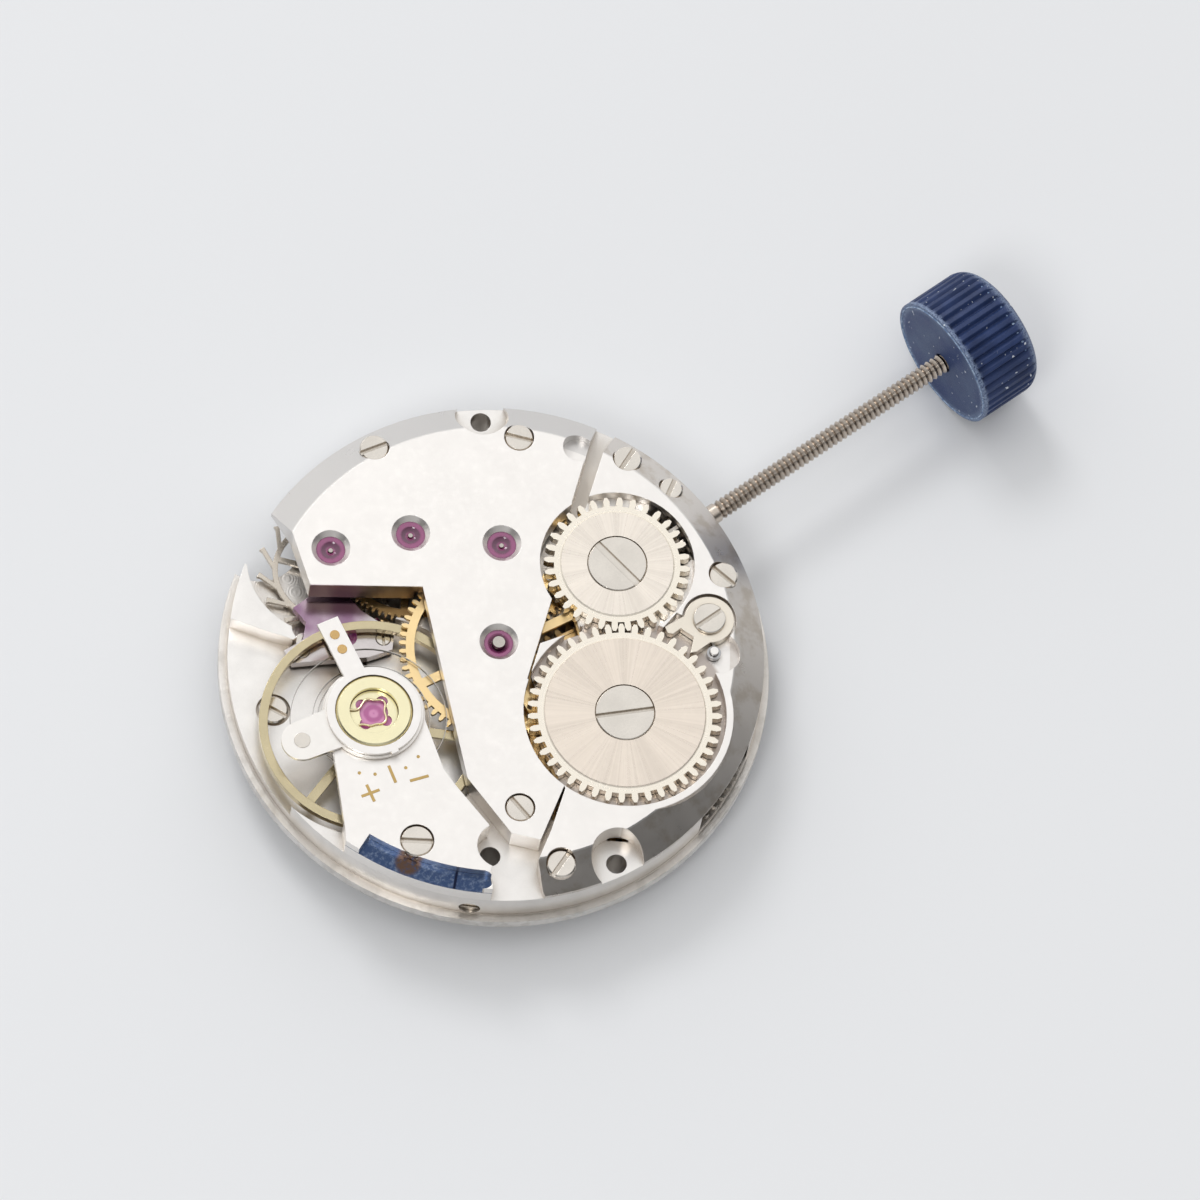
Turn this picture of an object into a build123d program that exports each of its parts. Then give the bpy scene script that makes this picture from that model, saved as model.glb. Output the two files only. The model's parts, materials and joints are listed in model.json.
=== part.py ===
from build123d import *
import os
from math import atan2, cos, degrees, hypot, pi, radians, sin

os.makedirs("parts", exist_ok=True)

# Hand-wound watch movement of ten lignes, seen bridge side up.
# The origin is the centre of the movement on the dial seat, +Z runs from the dial to the bridges
# and +X runs along the winding stem to the crown. All lengths are millimetres.

# Plate and bridges
body_r = 10.95
flange_w = 0.35
flange_t = 0.5
flange_r = body_r + flange_w
plate_t = 1.9
bridge_t = 1.2
bevel_w = 1.33
bevel_drop = 1.0
deep_floor = 0.42
barrel_floor = 0.6
motion_depth = 0.45

# Places of the axes
third_x = 2.75
third_y = 3.44
fourth_x = -0.04
fourth_y = 5.94
escape_x = -3.12
escape_y = 7.28
barrel_x = 2.32
barrel_y = -5.46
crown_wheel_x = 6.08
crown_wheel_y = 0.0
balance_x = -6.13
balance_y = 0.36

# Clearances
pivot_gap = 0.02
wheel_gap = 0.15
seat_gap = 0.02
seam = 0.1
cut_over = 0.6

# Tooth counts
barrel_teeth = 60
centre_leaves = 12
centre_teeth = 64
third_leaves = 8
third_teeth = 60
fourth_leaves = 8
fourth_teeth = 70
escape_leaves = 7
escape_teeth = 15
ratchet_teeth = 43
crown_wheel_teeth = 32
winding_teeth = 13
cannon_leaves = 12
minute_teeth = 36
minute_leaves = 10
hour_teeth = 40
setting_teeth = 14
crown_flutes = 40

# Tooth form, as shares of the module and of the pitch
addendum_share = 0.95
dedendum_share = 1.3
tooth_share = 0.48
leaf_share = 0.36
tip_share = 0.45

# Wheels, jewels and screws
wheel_t = 0.16
arbor_r = 0.2
pivot_r = 0.09
jewel_r = 0.6
jewel_t = 0.3
small_jewel_r = 0.4
sink_r = 0.8
screw_head_r = 0.6
screw_head_t = 0.3
screw_shank_r = 0.32
slot_w = 0.19
slot_d = 0.14
screw_rim_share = 0.2
cup_share = 0.55
cup_depth_share = 0.4
centre_lower_r = 0.33
centre_upper_r = 0.27

# Balance
balance_r = 4.6
rim_w = 0.36
rim_t = 0.34
shock_r = 1.57
spring_inner_r = 0.62
spring_coil_r = 2.45
spring_end_r = 3.37
spring_coils = 9

# Stem and crown
stem_z = 1.42
stem_r = 0.42
thread_pitch = 0.25
thread_depth = 0.09
crown_x = 23.26
crown_r = 2.85
crown_len = 3.1
stem_pull = 0.5

FOOT = (Align.CENTER, Align.CENTER, Align.MIN)
top_z = plate_t + bridge_t
centre = (0, 0)
third = (third_x, third_y)
fourth = (fourth_x, fourth_y)
escape = (escape_x, escape_y)
barrel = (barrel_x, barrel_y)
crown_wheel_at = (crown_wheel_x, crown_wheel_y)
balance = (balance_x, balance_y)


def span(a, b):
    """Distance between two places in plan."""
    return hypot(b[0] - a[0], b[1] - a[1])


def bearing(a, b):
    """Direction in degrees from one place in plan to another."""
    return degrees(atan2(b[1] - a[1], b[0] - a[0]))


def polar(at, r, angle):
    """Point in plan at a radius and an angle from a place."""
    return (at[0] + r * cos(radians(angle)), at[1] + r * sin(radians(angle)))


def between(a, b, share):
    """Point in plan on the line from one place to another."""
    return (a[0] + share * (b[0] - a[0]), a[1] + share * (b[1] - a[1]))


def shares(points, unit):
    """Points of an outline given as shares of one length."""
    return [(unit * x, unit * y) for x, y in points]


def pitch_pair(a, b, teeth_a, teeth_b):
    """Pitch radii of two meshing wheels that stand a known distance apart."""
    whole = span(a, b)
    return whole * teeth_a / (teeth_a + teeth_b), whole * teeth_b / (teeth_a + teeth_b)


def meshing_phase(a, b, teeth_a, teeth_b, phase_a):
    """Angle of a tooth of the second wheel that lets the teeth of the two wheels interlock."""
    line = bearing(a, b)
    return line + 180 + (line - phase_a) * teeth_a / teeth_b + 180 / teeth_b


def tip_of(pitch_r, teeth):
    """Outside radius of a toothed wheel."""
    return pitch_r * (1 + 2 * addendum_share / teeth)


def root_of(pitch_r, teeth):
    """Radius at the foot of the teeth."""
    return pitch_r * (1 - 2 * dedendum_share / teeth)


def post(at, r, z0, z1, mode=Mode.ADD):
    """Upright cylinder at a place in plan."""
    with Locations((at[0], at[1], z0)):
        Cylinder(r, z1 - z0, align=FOOT, mode=mode)


def toothed(at, teeth, pitch_r, z0, z1, phase, share=tooth_share):
    """Toothed disc with straight flanks and narrowed tips."""
    half = 180 / teeth * share
    corners = [
        (root_of(pitch_r, teeth), half),
        (pitch_r, half),
        (tip_of(pitch_r, teeth), half * tip_share),
    ]
    outline = []
    for k in range(teeth):
        middle = phase + 360 * k / teeth
        outline += [polar(at, r, middle - a) for r, a in corners]
        outline += [polar(at, r, middle + a) for r, a in reversed(corners)]
    with BuildSketch(Plane.XY.offset(z0)) as disc:
        with BuildLine():
            Polyline(*outline, close=True)
        make_face()
    extrude(disc.sketch, amount=z1 - z0)


def windows(at, hub_r, rim_r, arm_w, arms, angle, z0, z1):
    """Openings between the arms of a wheel."""
    with BuildSketch(Plane.XY.offset(z0)) as openings:
        with Locations(at):
            Circle(rim_r)
            Circle(hub_r, mode=Mode.SUBTRACT)
            with PolarLocations(0, arms, start_angle=angle):
                Rectangle(rim_r, arm_w, align=(Align.MIN, Align.CENTER), mode=Mode.SUBTRACT)
    extrude(openings.sketch, amount=z1 - z0, mode=Mode.SUBTRACT)


def turned(at, outline, mode=Mode.ADD):
    """Solid of revolution about an upright axis, from radius and height pairs."""
    upright = Plane(origin=(at[0], at[1], 0), x_dir=(1, 0, 0), z_dir=(0, -1, 0))
    with BuildSketch(upright) as profile:
        with BuildLine():
            Polyline(*outline, close=True)
        make_face()
    revolve(profile.sketch, axis=Axis((at[0], at[1], 0), (0, 0, 1)), mode=mode)


def turned_on_stem(outline, mode=Mode.ADD):
    """Solid of revolution about the stem, from pairs of place along the stem and radius."""
    upright = Plane(origin=(0, 0, stem_z), x_dir=(1, 0, 0), z_dir=(0, -1, 0))
    with BuildSketch(upright) as profile:
        with BuildLine():
            Polyline(*outline, close=True)
        make_face()
    revolve(profile.sketch, axis=Axis((0, 0, stem_z), (1, 0, 0)), mode=mode)


def slotted_screw(at, head_r, head_t, top, shank_r, foot, angle, slot=slot_w, depth=slot_d):
    """Cheese-head screw with a chamfered head, a slot and a plain shank."""
    rim = head_t * screw_rim_share
    head = [(0, foot), (shank_r, foot), (shank_r, top - head_t), (head_r, top - head_t)]
    turned(at, head + [(head_r, top - rim), (head_r - rim, top), (0, top)])
    with Locations(Location((at[0], at[1], top - depth), (0, 0, angle))):
        Box(3 * head_r, slot, 2 * depth, align=FOOT, mode=Mode.SUBTRACT)


def jewel(at, r, t, z0, hole_r, cup_up):
    """Jewel with a pivot hole and an oil cup on one face."""
    cup_r = hole_r + cup_share * (r - hole_r)
    cup_t = t * cup_depth_share
    if cup_up:
        flat = [(hole_r, z0), (r, z0), (r, z0 + t), (cup_r, z0 + t), (hole_r, z0 + t - cup_t)]
    else:
        flat = [(hole_r, z0 + cup_t), (cup_r, z0), (r, z0), (r, z0 + t), (hole_r, z0 + t)]
    turned(at, flat)


def stone_seat(side):
    """Middle of a stone whose tip just locks a tooth of the escape wheel."""
    touch = polar(pallet_at, stone_reach, pallet_line + side * pallet_spread)
    return polar(escape, escape_r + 0.5 * stone_len - stone_lock, bearing(escape, touch))


def under_bridge_cut(at, r, roof):
    """Round pocket in the underside of a bridge."""
    post(at, r, plate_t - cut_over, roof, mode=Mode.SUBTRACT)


def bridge_blank(outline):
    """Bridge of full height whose outer edge is bevelled all along the rim of the movement."""
    low = top_z - bevel_drop
    with BuildSketch(Plane.XY.offset(plate_t)) as blank:
        with BuildLine():
            Polyline(*outline, close=True)
        make_face()
    extrude(blank.sketch, amount=bridge_t)
    turned(
        centre,
        [
            (0, plate_t),
            (body_r, plate_t),
            (body_r, low),
            (body_r - bevel_w, top_z),
            (0, top_z),
        ],
        mode=Mode.INTERSECT,
    )


def counterbore(at, head_r, head_bottom, shank_r):
    """Seat and through hole for a screw head in a bridge."""
    post(at, head_r + seat_gap, head_bottom, top_z + cut_over, mode=Mode.SUBTRACT)
    post(at, shank_r + seat_gap, plate_t - cut_over, head_bottom + cut_over, mode=Mode.SUBTRACT)


def spiral(at, stops, strip, z0, height, turn):
    """Strip wound in half-turn arcs that meet the axis of the spiral at the given radii."""
    half = 0.5 * strip
    level = Plane(origin=(at[0], at[1], z0), x_dir=(cos(radians(turn)), sin(radians(turn)), 0))
    with BuildSketch(level) as coil:
        with BuildLine():
            sides = (stops, [r + strip for r in stops])
            for line in sides:
                for k in range(len(line) - 1):
                    sign = 1 if k % 2 == 0 else -1
                    start = (sign * (line[k] - half), 0)
                    end = (-sign * (line[k + 1] - half), 0)
                    middle = 0.5 * (start[0] + end[0])
                    bow = 0.5 * abs(start[0] - end[0])
                    ThreePointArc(start, (middle, sign * bow), end)
            for k in (0, -1):
                sign = 1 if k == 0 or len(stops) % 2 == 1 else -1
                Line((sign * (stops[k] - half), 0), (sign * (stops[k] + half), 0))
        make_face()
    extrude(coil.sketch, amount=height)


def train_wheel(at, teeth, pitch_r, z, bore_r, angle, phase):
    """Brass wheel with rim, arms and hub."""
    rim_in = root_of(pitch_r, teeth) - rim_share * pitch_r
    toothed(at, teeth, pitch_r, z, z + wheel_t, phase)
    arm_w = arm_share * pitch_r
    windows(at, hub_share * pitch_r, rim_in, arm_w, wheel_arms, angle, z, z + wheel_t)
    post(at, bore_r, z - seam, z + wheel_t + seam, mode=Mode.SUBTRACT)


def pinion(at, leaves, pitch_r, phase, leaf_z, leaf_top, wheel_z, seat_r, low, high):
    """Steel arbor with leaves, a seat for its wheel and a pivot at each end."""
    toothed(at, leaves, pitch_r, leaf_z, leaf_top, phase, share=leaf_share)
    outline = [
        (0, low),
        (pivot_r, low),
        (pivot_r, low + jewel_t),
        (arbor_r, low + jewel_t),
        (arbor_r, high - jewel_t),
        (pivot_r, high - jewel_t),
        (pivot_r, high),
        (0, high),
    ]
    turned(at, outline)
    post(at, seat_r, wheel_z - 0.3 * wheel_gap, wheel_z)


def shock_heights(face, sign, floor_t, hole_t, cap_jewel_t, spring_t):
    """Pairs of heights of the hole jewel, the cap jewel and the spring, from the inner face."""
    first = floor_t + hole_t
    second = first + stack_gap + cap_jewel_t
    steps = (
        (floor_t, first),
        (first + stack_gap, second),
        (second + stack_gap, second + stack_gap + spring_t),
    )
    return [sorted((face + sign * a, face + sign * b)) for a, b in steps]


def bright_wheel(at, teeth, pitch_r, z0, z1, phase):
    """Winding wheel whose face stands a little above its teeth inside a short slope."""
    toothed(at, teeth, pitch_r, z0, z1, phase)
    inner_r = root_of(pitch_r, teeth) - face_step
    turned(at, [(0, z1), (inner_r + face_raise, z1), (inner_r, z1 + face_raise), (0, z1 + face_raise)])
    seat_z = z1 + face_raise - wheel_screw_t
    post(at, wheel_screw_r + seat_gap, seat_z, top_z + cut_over, mode=Mode.SUBTRACT)


def toothed_on_stem(teeth, tip_r, root_r, x0, x1, phase, share, narrow):
    """Toothed disc on the axis of the stem."""
    half = 180 / teeth * share
    outline = []
    for k in range(teeth):
        middle = phase + 360 * k / teeth
        outline.append(polar((0, stem_z), root_r, middle - half))
        outline.append(polar((0, stem_z), tip_r, middle - half * narrow))
        outline.append(polar((0, stem_z), tip_r, middle + half * narrow))
        outline.append(polar((0, stem_z), root_r, middle + half))
    with BuildSketch(Plane.YZ.offset(x0)) as disc:
        with BuildLine():
            Polyline(*outline, close=True)
        make_face()
    extrude(disc.sketch, amount=x1 - x0)


# Pitch radii and phases of the going train
barrel_pitch_r, centre_pinion_r = pitch_pair(barrel, centre, barrel_teeth, centre_leaves)
centre_pitch_r, third_pinion_r = pitch_pair(centre, third, centre_teeth, third_leaves)
third_pitch_r, fourth_pinion_r = pitch_pair(third, fourth, third_teeth, fourth_leaves)
fourth_pitch_r, escape_pinion_r = pitch_pair(fourth, escape, fourth_teeth, escape_leaves)
centre_phase = 0
barrel_phase = meshing_phase(centre, barrel, centre_leaves, barrel_teeth, centre_phase)
third_phase = meshing_phase(centre, third, centre_teeth, third_leaves, centre_phase)
third_wheel_phase = 0
fourth_phase = meshing_phase(third, fourth, third_teeth, fourth_leaves, third_wheel_phase)
fourth_wheel_phase = 0
escape_phase = meshing_phase(fourth, escape, fourth_teeth, escape_leaves, fourth_wheel_phase)

# Pitch radii of the winding wheels and of the motion work
ratchet_pitch_r, crown_wheel_pitch_r = pitch_pair(
    barrel, crown_wheel_at, ratchet_teeth, crown_wheel_teeth
)
crown_wheel_phase = 180 / crown_wheel_teeth
ratchet_phase = meshing_phase(
    crown_wheel_at, barrel, crown_wheel_teeth, ratchet_teeth, crown_wheel_phase
)
winding_pitch_r = crown_wheel_pitch_r * winding_teeth / crown_wheel_teeth
motion_module = 0.125
setting_wheel_x = 5.2
minute_reach = motion_module * (cannon_leaves + minute_teeth) / 2
setting_reach = motion_module * (minute_teeth + setting_teeth) / 2
minute_x = (minute_reach**2 - setting_reach**2 + setting_wheel_x**2) / (2 * setting_wheel_x)
minute_at = (minute_x, (minute_reach**2 - minute_x**2) ** 0.5)
setting_at = (setting_wheel_x, 0)
cannon_pitch_r, minute_pitch_r = pitch_pair(centre, minute_at, cannon_leaves, minute_teeth)
hour_pitch_r, minute_pinion_r = pitch_pair(centre, minute_at, hour_teeth, minute_leaves)
setting_pitch_r = motion_module * setting_teeth / 2
minute_phase = meshing_phase(centre, minute_at, cannon_leaves, minute_teeth, centre_phase)
hour_phase = meshing_phase(minute_at, centre, minute_leaves, hour_teeth, minute_phase)
setting_phase = meshing_phase(minute_at, setting_at, minute_teeth, setting_teeth, minute_phase)

# Heights of the going train, from the dial side up
pallet_level = deep_floor + wheel_gap + 0.5 * wheel_gap
pallet_top = pallet_level + 1.3 * wheel_t
pallet_seat = pallet_top + 2 * wheel_gap
pallet_bridge_t = 0.42
pallet_bridge_top = pallet_seat + pallet_bridge_t
fourth_floor = pallet_seat - 0.5 * wheel_gap
fourth_z = fourth_floor + wheel_gap
third_floor = fourth_z + wheel_t + wheel_gap
third_z = third_floor + 0.4 * wheel_gap
centre_wheel_z = plate_t + 2 * wheel_gap
bridge_roof = centre_wheel_z + wheel_t + wheel_gap
centre_floor = motion_depth + jewel_t + wheel_gap
centre_pinion_z = centre_floor + 0.5 * wheel_gap
centre_pinion_top = third_z - 0.5 * wheel_gap
barrel_teeth_z = centre_pinion_z + 0.4 * wheel_gap
barrel_teeth_t = 0.32
drum_z = barrel_floor + wheel_gap
drum_top = plate_t
drum_gap = 0.13
barrel_roof = drum_top + drum_gap
rim_top = centre_wheel_z - 0.8 * wheel_gap
rim_z = rim_top - rim_t
balance_floor = rim_z - 5 * wheel_gap
lower_jewel_z = 0.1
crown_wheel_floor = bridge_roof
lip_roof = centre_wheel_z + wheel_t + 0.3 * wheel_gap
crown_wheel_t = 0.46
crown_wheel_z = crown_wheel_floor + 0.3 * wheel_gap
ratchet_t = 0.4
ratchet_z = crown_wheel_z + crown_wheel_t - ratchet_t
cock_roof = rim_top + 4 * wheel_gap
spring_z = centre_wheel_z + wheel_t + 0.5 * wheel_gap
spring_h = 0.12

# Radii of the pockets that the wheels turn in
barrel_pocket_r = tip_of(barrel_pitch_r, barrel_teeth) + 0.8 * wheel_gap
centre_pocket_r = tip_of(centre_pitch_r, centre_teeth) + 0.8 * wheel_gap
third_pocket_r = tip_of(third_pitch_r, third_teeth) + wheel_gap
fourth_pocket_r = tip_of(fourth_pitch_r, fourth_teeth) + wheel_gap
centre_pinion_pocket_r = tip_of(centre_pinion_r, centre_leaves) + wheel_gap
balance_pocket_r = balance_r + 2 * wheel_gap
ratchet_recess_r = tip_of(ratchet_pitch_r, ratchet_teeth) + 1.2 * wheel_gap
crown_recess_r = tip_of(crown_wheel_pitch_r, crown_wheel_teeth) + 1.2 * wheel_gap
recess_wall = 0.28

# Escapement places, on the line from the escape wheel to the balance
pallet_line_share = 0.446
escape_r = 2.92
escape_wheel_t = wheel_t
pallet_at = between(escape, balance, pallet_line_share)
pallet_line = bearing(pallet_at, escape)
pallet_spread = 60
stone_reach = span(pallet_at, escape) * 0.5
stone_w = 0.16
stone_len = 0.62
stone_lock = 0.05


entry_stone = stone_seat(1)
exit_stone = stone_seat(-1)
pallet_slot_r = 0.6
escape_pocket_r = escape_r + 3 * wheel_gap
roller_r = 0.85
impulse_at_r = 0.62
impulse_r = 0.1
roller_pocket_r = roller_r + 2 * wheel_gap
lower_block_r = 1.0
lower_block_z = 0.06
lower_block_top = deep_floor + 0.5 * wheel_gap
pallet_feet_shares = [(-0.58, 0.434), (-0.301, 0.301)]
pallet_feet = shares(pallet_feet_shares, body_r)
pallet_foot_r = 0.42

# Screws of the bridges: places as shares of the plate's radius, height of the head and slot angle
bridge_screw_shares = [(0.1, 0.907), (0.567, 0.625), (-0.34, -0.58)]
bridge_screw_angles = [-13, -50, 93]
barrel_screw_shares = [(0.852, 0.325), (0.857, -0.262), (-0.345, -0.842)]
barrel_screw_angles = [22, -78, 20]
cock_screw_share = (-0.732, -0.466)
bridge_screws_at = shares(bridge_screw_shares, body_r)
barrel_screws_at = shares(barrel_screw_shares, body_r)
cock_screw_at = (cock_screw_share[0] * body_r, cock_screw_share[1] * body_r)
shelf_screw_share = (-0.795, 0.32)
shelf_screw_at = (shelf_screw_share[0] * body_r, shelf_screw_share[1] * body_r)
shelf_screw_angle = -66
shelf_screw_foot = 0.35
flush_drop = 0.04
sunk_drop = 0.2

# Holes for the case screws, the dial feet and their screws
case_hole_r = 0.42
case_pad_r = 1.1
case_ring_in = 0.57
case_ring_r = body_r - case_ring_in
case_angles = (56.6, 260.9)
third_hole_share = (-0.516, -0.642)
third_hole_at = (third_hole_share[0] * body_r, third_hole_share[1] * body_r)
case_holes_at = [polar(centre, case_ring_r, a) for a in case_angles]
foot_hole_r = 0.36
foot_ring_in = 1.0
foot_ring_r = body_r - foot_ring_in
foot_angles = (40, 227.5)
foot_screw_r = 0.24
foot_screw_head_r = 0.42
foot_screw_head_t = 0.3
foot_screw_z = 0.95

# Winding and sliding pinions and the setting parts
winding_face = 0.55
winding_hub_len = 0.3
winding_hub_r = 0.8
winding_teeth_x = crown_wheel_x + root_of(crown_wheel_pitch_r, crown_wheel_teeth) + seat_gap
winding_in = winding_teeth_x - winding_hub_len
winding_out = winding_teeth_x + winding_face
sliding_r = 0.85
sliding_len = 1.5
sliding_out = winding_in - seat_gap
sliding_in = sliding_out - sliding_len
square_side = 0.56
pilot_r = 0.25
pilot_len = 1.0
winding_slot_half = winding_pitch_r + 2 * wheel_gap
sliding_slot_half = sliding_r + wheel_gap
lever_screw_share = (0.921, 0.142)
lever_screw_at = (lever_screw_share[0] * body_r, lever_screw_share[1] * body_r)
lever_post_r = 0.14
groove_w = 0.42
groove_r = 0.24
lever_post_at = (lever_screw_at[0] - 0.5 * stem_pull, groove_r + lever_post_r + seat_gap)
groove_x = lever_post_at[0]
lever_t = 0.28
lever_z = 0.08
yoke_pivot_y = 3.0
yoke_post_r = 0.2
lever_w = 0.5
sliding_groove_w = 0.52
sliding_groove_r = 0.5
sliding_middle = 0.5 * (sliding_in + sliding_out)
yoke_tip = (sliding_middle, sliding_groove_r + yoke_post_r + seat_gap)
yoke_pivot = (sliding_middle - 0.5 * stem_pull, yoke_pivot_y)
yoke_w = 0.7
setting_recess = lever_z + lever_t + 0.5 * wheel_gap

# Click
click_share = (0.7, -0.378)
click_at = (click_share[0] * body_r, click_share[1] * body_r)
click_r = 1.02
click_pocket_r = 1.12
click_t = 0.4
click_z = ratchet_z
click_screw_r = 0.66
click_lobe_share = (0.643, -0.507)
click_lobe_at = (click_lobe_share[0] * body_r, click_lobe_share[1] * body_r)
click_lobe_r = 0.9


# Main plate: flange, body, pockets for the wheels and bores for the stem, jewels and screws
with BuildPart() as main_plate:
    post(centre, flange_r, 0, flange_t)
    post(centre, body_r, 0, plate_t)
    notch_r = 1.75
    notch_share = (-0.416, 0.918)
    notch_at = (notch_share[0] * body_r, notch_share[1] * body_r)
    # Pockets open to the bridge side
    for at, r, floor in (
        (balance, balance_pocket_r, balance_floor),
        (balance, roller_pocket_r, lower_block_top + 0.3 * wheel_gap),
        (escape, escape_pocket_r, deep_floor),
        (pallet_at, pallet_slot_r + wheel_gap, deep_floor),
        (fourth, fourth_pocket_r, fourth_floor),
        (third, third_pocket_r, third_floor),
        (centre, centre_pinion_pocket_r, centre_floor),
        (barrel, barrel_pocket_r, barrel_floor),
    ):
        post(at, r, floor, plate_t + cut_over, mode=Mode.SUBTRACT)
    # Low shelf between the balance and the rim
    shelf_shares = [
        (-1.1, 0.0),
        (-0.56, 0.2),
        (-0.56, 0.43),
        (-0.6, 0.5),
        (-0.644, 0.558),
        (-0.73, 0.686),
        (-0.9, 0.9),
        (-1.2, 0.7),
    ]
    with BuildSketch(Plane.XY.offset(balance_floor)):
        with BuildLine():
            Polyline(*shares(shelf_shares, body_r), close=True)
        make_face()
    extrude(amount=plate_t, mode=Mode.SUBTRACT)
    with BuildSketch(Plane.XY.offset(deep_floor)):
        for end in (entry_stone, exit_stone, balance):
            with Locations(between(pallet_at, end, 0.5)):
                SlotCenterToCenter(
                    span(pallet_at, end), 2 * pallet_slot_r, rotation=bearing(pallet_at, end)
                )
    extrude(amount=plate_t - deep_floor, mode=Mode.SUBTRACT)
    pallet_outline_shares = [
        (-0.502, 0.595),
        (-0.325, 0.6),
        (-0.306, 0.55),
        (-0.3, 0.44),
        (-0.25, 0.3),
        (-0.3, 0.245),
        (-0.39, 0.27),
        (-0.56, 0.37),
        (-0.64, 0.415),
        (-0.635, 0.475),
        (-0.55, 0.47),
        (-0.498, 0.52),
    ]
    with BuildSketch(Plane.XY.offset(pallet_seat)):
        with BuildLine():
            Polyline(*shares(pallet_outline_shares, body_r), close=True)
        make_face()
        offset(amount=seam, kind=Kind.INTERSECTION)
    extrude(amount=plate_t, mode=Mode.SUBTRACT)
    # Opening under the escape wheel, through the rim
    post(notch_at, notch_r, -cut_over, plate_t + cut_over, mode=Mode.SUBTRACT)
    # Slots for the winding and sliding pinions, and the bores for the stem
    slot_out = winding_out + wheel_gap
    slot_in = sliding_in - stem_pull - wheel_gap
    with Locations((winding_in - wheel_gap, 0, -cut_over)):
        Box(
            slot_out - winding_in + wheel_gap,
            2 * winding_slot_half,
            plate_t + 2 * cut_over,
            align=(Align.MIN, Align.CENTER, Align.MIN),
            mode=Mode.SUBTRACT,
        )
    with Locations((slot_in, 0, -cut_over)):
        Box(
            winding_in - slot_in,
            2 * sliding_slot_half,
            plate_t + 2 * cut_over,
            align=(Align.MIN, Align.CENTER, Align.MIN),
            mode=Mode.SUBTRACT,
        )
    with Locations(Location((slot_in + cut_over, 0, stem_z), (0, -90, 0))):
        Cylinder(pilot_r + pivot_gap, pilot_len + cut_over, align=FOOT, mode=Mode.SUBTRACT)
    with Locations(Location((slot_out - cut_over, 0, stem_z), (0, 90, 0))):
        Cylinder(stem_r + pivot_gap, body_r, align=FOOT, mode=Mode.SUBTRACT)
    # Recesses of the dial side
    for at, r in (
        (centre, tip_of(hour_pitch_r, hour_teeth) + wheel_gap),
        (minute_at, tip_of(minute_pitch_r, minute_teeth) + wheel_gap),
        (setting_at, tip_of(setting_pitch_r, setting_teeth) + wheel_gap),
    ):
        post(at, r, -cut_over, motion_depth, mode=Mode.SUBTRACT)
    setting_outline_shares = [
        (0.53, 0.02),
        (0.87, 0.02),
        (0.95, 0.04),
        (0.975, 0.16),
        (0.9, 0.23),
        (0.83, 0.31),
        (0.7, 0.38),
        (0.5, 0.36),
    ]
    with BuildSketch(Plane.XY.offset(-cut_over)):
        with BuildLine():
            Polyline(*shares(setting_outline_shares, body_r), close=True)
        make_face()
    extrude(amount=setting_recess + cut_over, mode=Mode.SUBTRACT)
    # Slot in which the post of the setting lever swings beside the stem
    with Locations((groove_x - 0.5 * groove_w, 0, 0)):
        Box(
            groove_w + stem_pull,
            2 * (lever_post_at[1] + lever_post_r + 0.5 * wheel_gap),
            stem_z + stem_r,
            align=(Align.MIN, Align.CENTER, Align.MIN),
            mode=Mode.SUBTRACT,
        )
    # Seats and pivot holes of the jewels
    lower_third_z = motion_depth + 0.3 * wheel_gap
    lower_seats = (
        (third, small_jewel_r, lower_third_z),
        (fourth, small_jewel_r, lower_jewel_z),
        (escape, small_jewel_r, lower_jewel_z),
        (pallet_at, small_jewel_r, lower_jewel_z),
        (centre, jewel_r, lower_third_z),
    )
    for at, r, z0 in lower_seats:
        post(at, r, z0, z0 + jewel_t, mode=Mode.SUBTRACT)
        post(at, r * cup_share, -cut_over, plate_t + cut_over, mode=Mode.SUBTRACT)
    post(balance, lower_block_r, lower_block_z, lower_block_top, mode=Mode.SUBTRACT)
    post(balance, lower_block_r * cup_share, -cut_over, deep_floor, mode=Mode.SUBTRACT)
    barrel_pivot_r = 0.5
    post(barrel, barrel_pivot_r + pivot_gap, -cut_over, plate_t, mode=Mode.SUBTRACT)
    # Tapped holes of the bridge screws, the case screws and the setting lever screw
    thread_foot = 1.15
    for at in bridge_screws_at + barrel_screws_at + [cock_screw_at]:
        post(at, screw_shank_r, thread_foot, plate_t + cut_over, mode=Mode.SUBTRACT)
    shelf_head_z = balance_floor + seam - screw_head_t
    post(shelf_screw_at, screw_head_r + seam, shelf_head_z, plate_t, mode=Mode.SUBTRACT)
    post(shelf_screw_at, screw_shank_r, shelf_screw_foot - seam, plate_t, mode=Mode.SUBTRACT)
    for at in case_holes_at + [third_hole_at]:
        post(at, case_hole_r, -cut_over, plate_t + cut_over, mode=Mode.SUBTRACT)
    pallet_screw_r = 0.17
    for at in pallet_feet:
        post(at, pallet_screw_r, deep_floor, plate_t, mode=Mode.SUBTRACT)
    lever_shank_r = 0.26
    post(lever_screw_at, lever_shank_r + pivot_gap, -cut_over, plate_t + cut_over, mode=Mode.SUBTRACT)
    yoke_stud_r = 0.25
    post(yoke_pivot, yoke_stud_r, 0, setting_recess + seat_gap)
    post(minute_at, arbor_r, 0, motion_depth + seat_gap)
    post(setting_at, arbor_r, 0, motion_depth + seat_gap)
    # Holes of the dial feet, with the screws that clamp them reaching in from the rim
    for angle in foot_angles:
        foot_at = polar(centre, foot_ring_r, angle)
        post(foot_at, foot_hole_r, -cut_over, plate_t + cut_over, mode=Mode.SUBTRACT)
        rim_face = Plane(
            origin=(*foot_at, foot_screw_z),
            z_dir=(cos(radians(angle)), sin(radians(angle)), 0),
        )
        with Locations(rim_face.location):
            Cylinder(foot_screw_r, flange_r, align=FOOT, mode=Mode.SUBTRACT)
        head_seat = body_r - foot_screw_head_t - seam
        with Locations(rim_face.offset(head_seat - foot_ring_r).location):
            Cylinder(foot_screw_head_r + seat_gap, flange_r, align=FOOT, mode=Mode.SUBTRACT)

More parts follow.
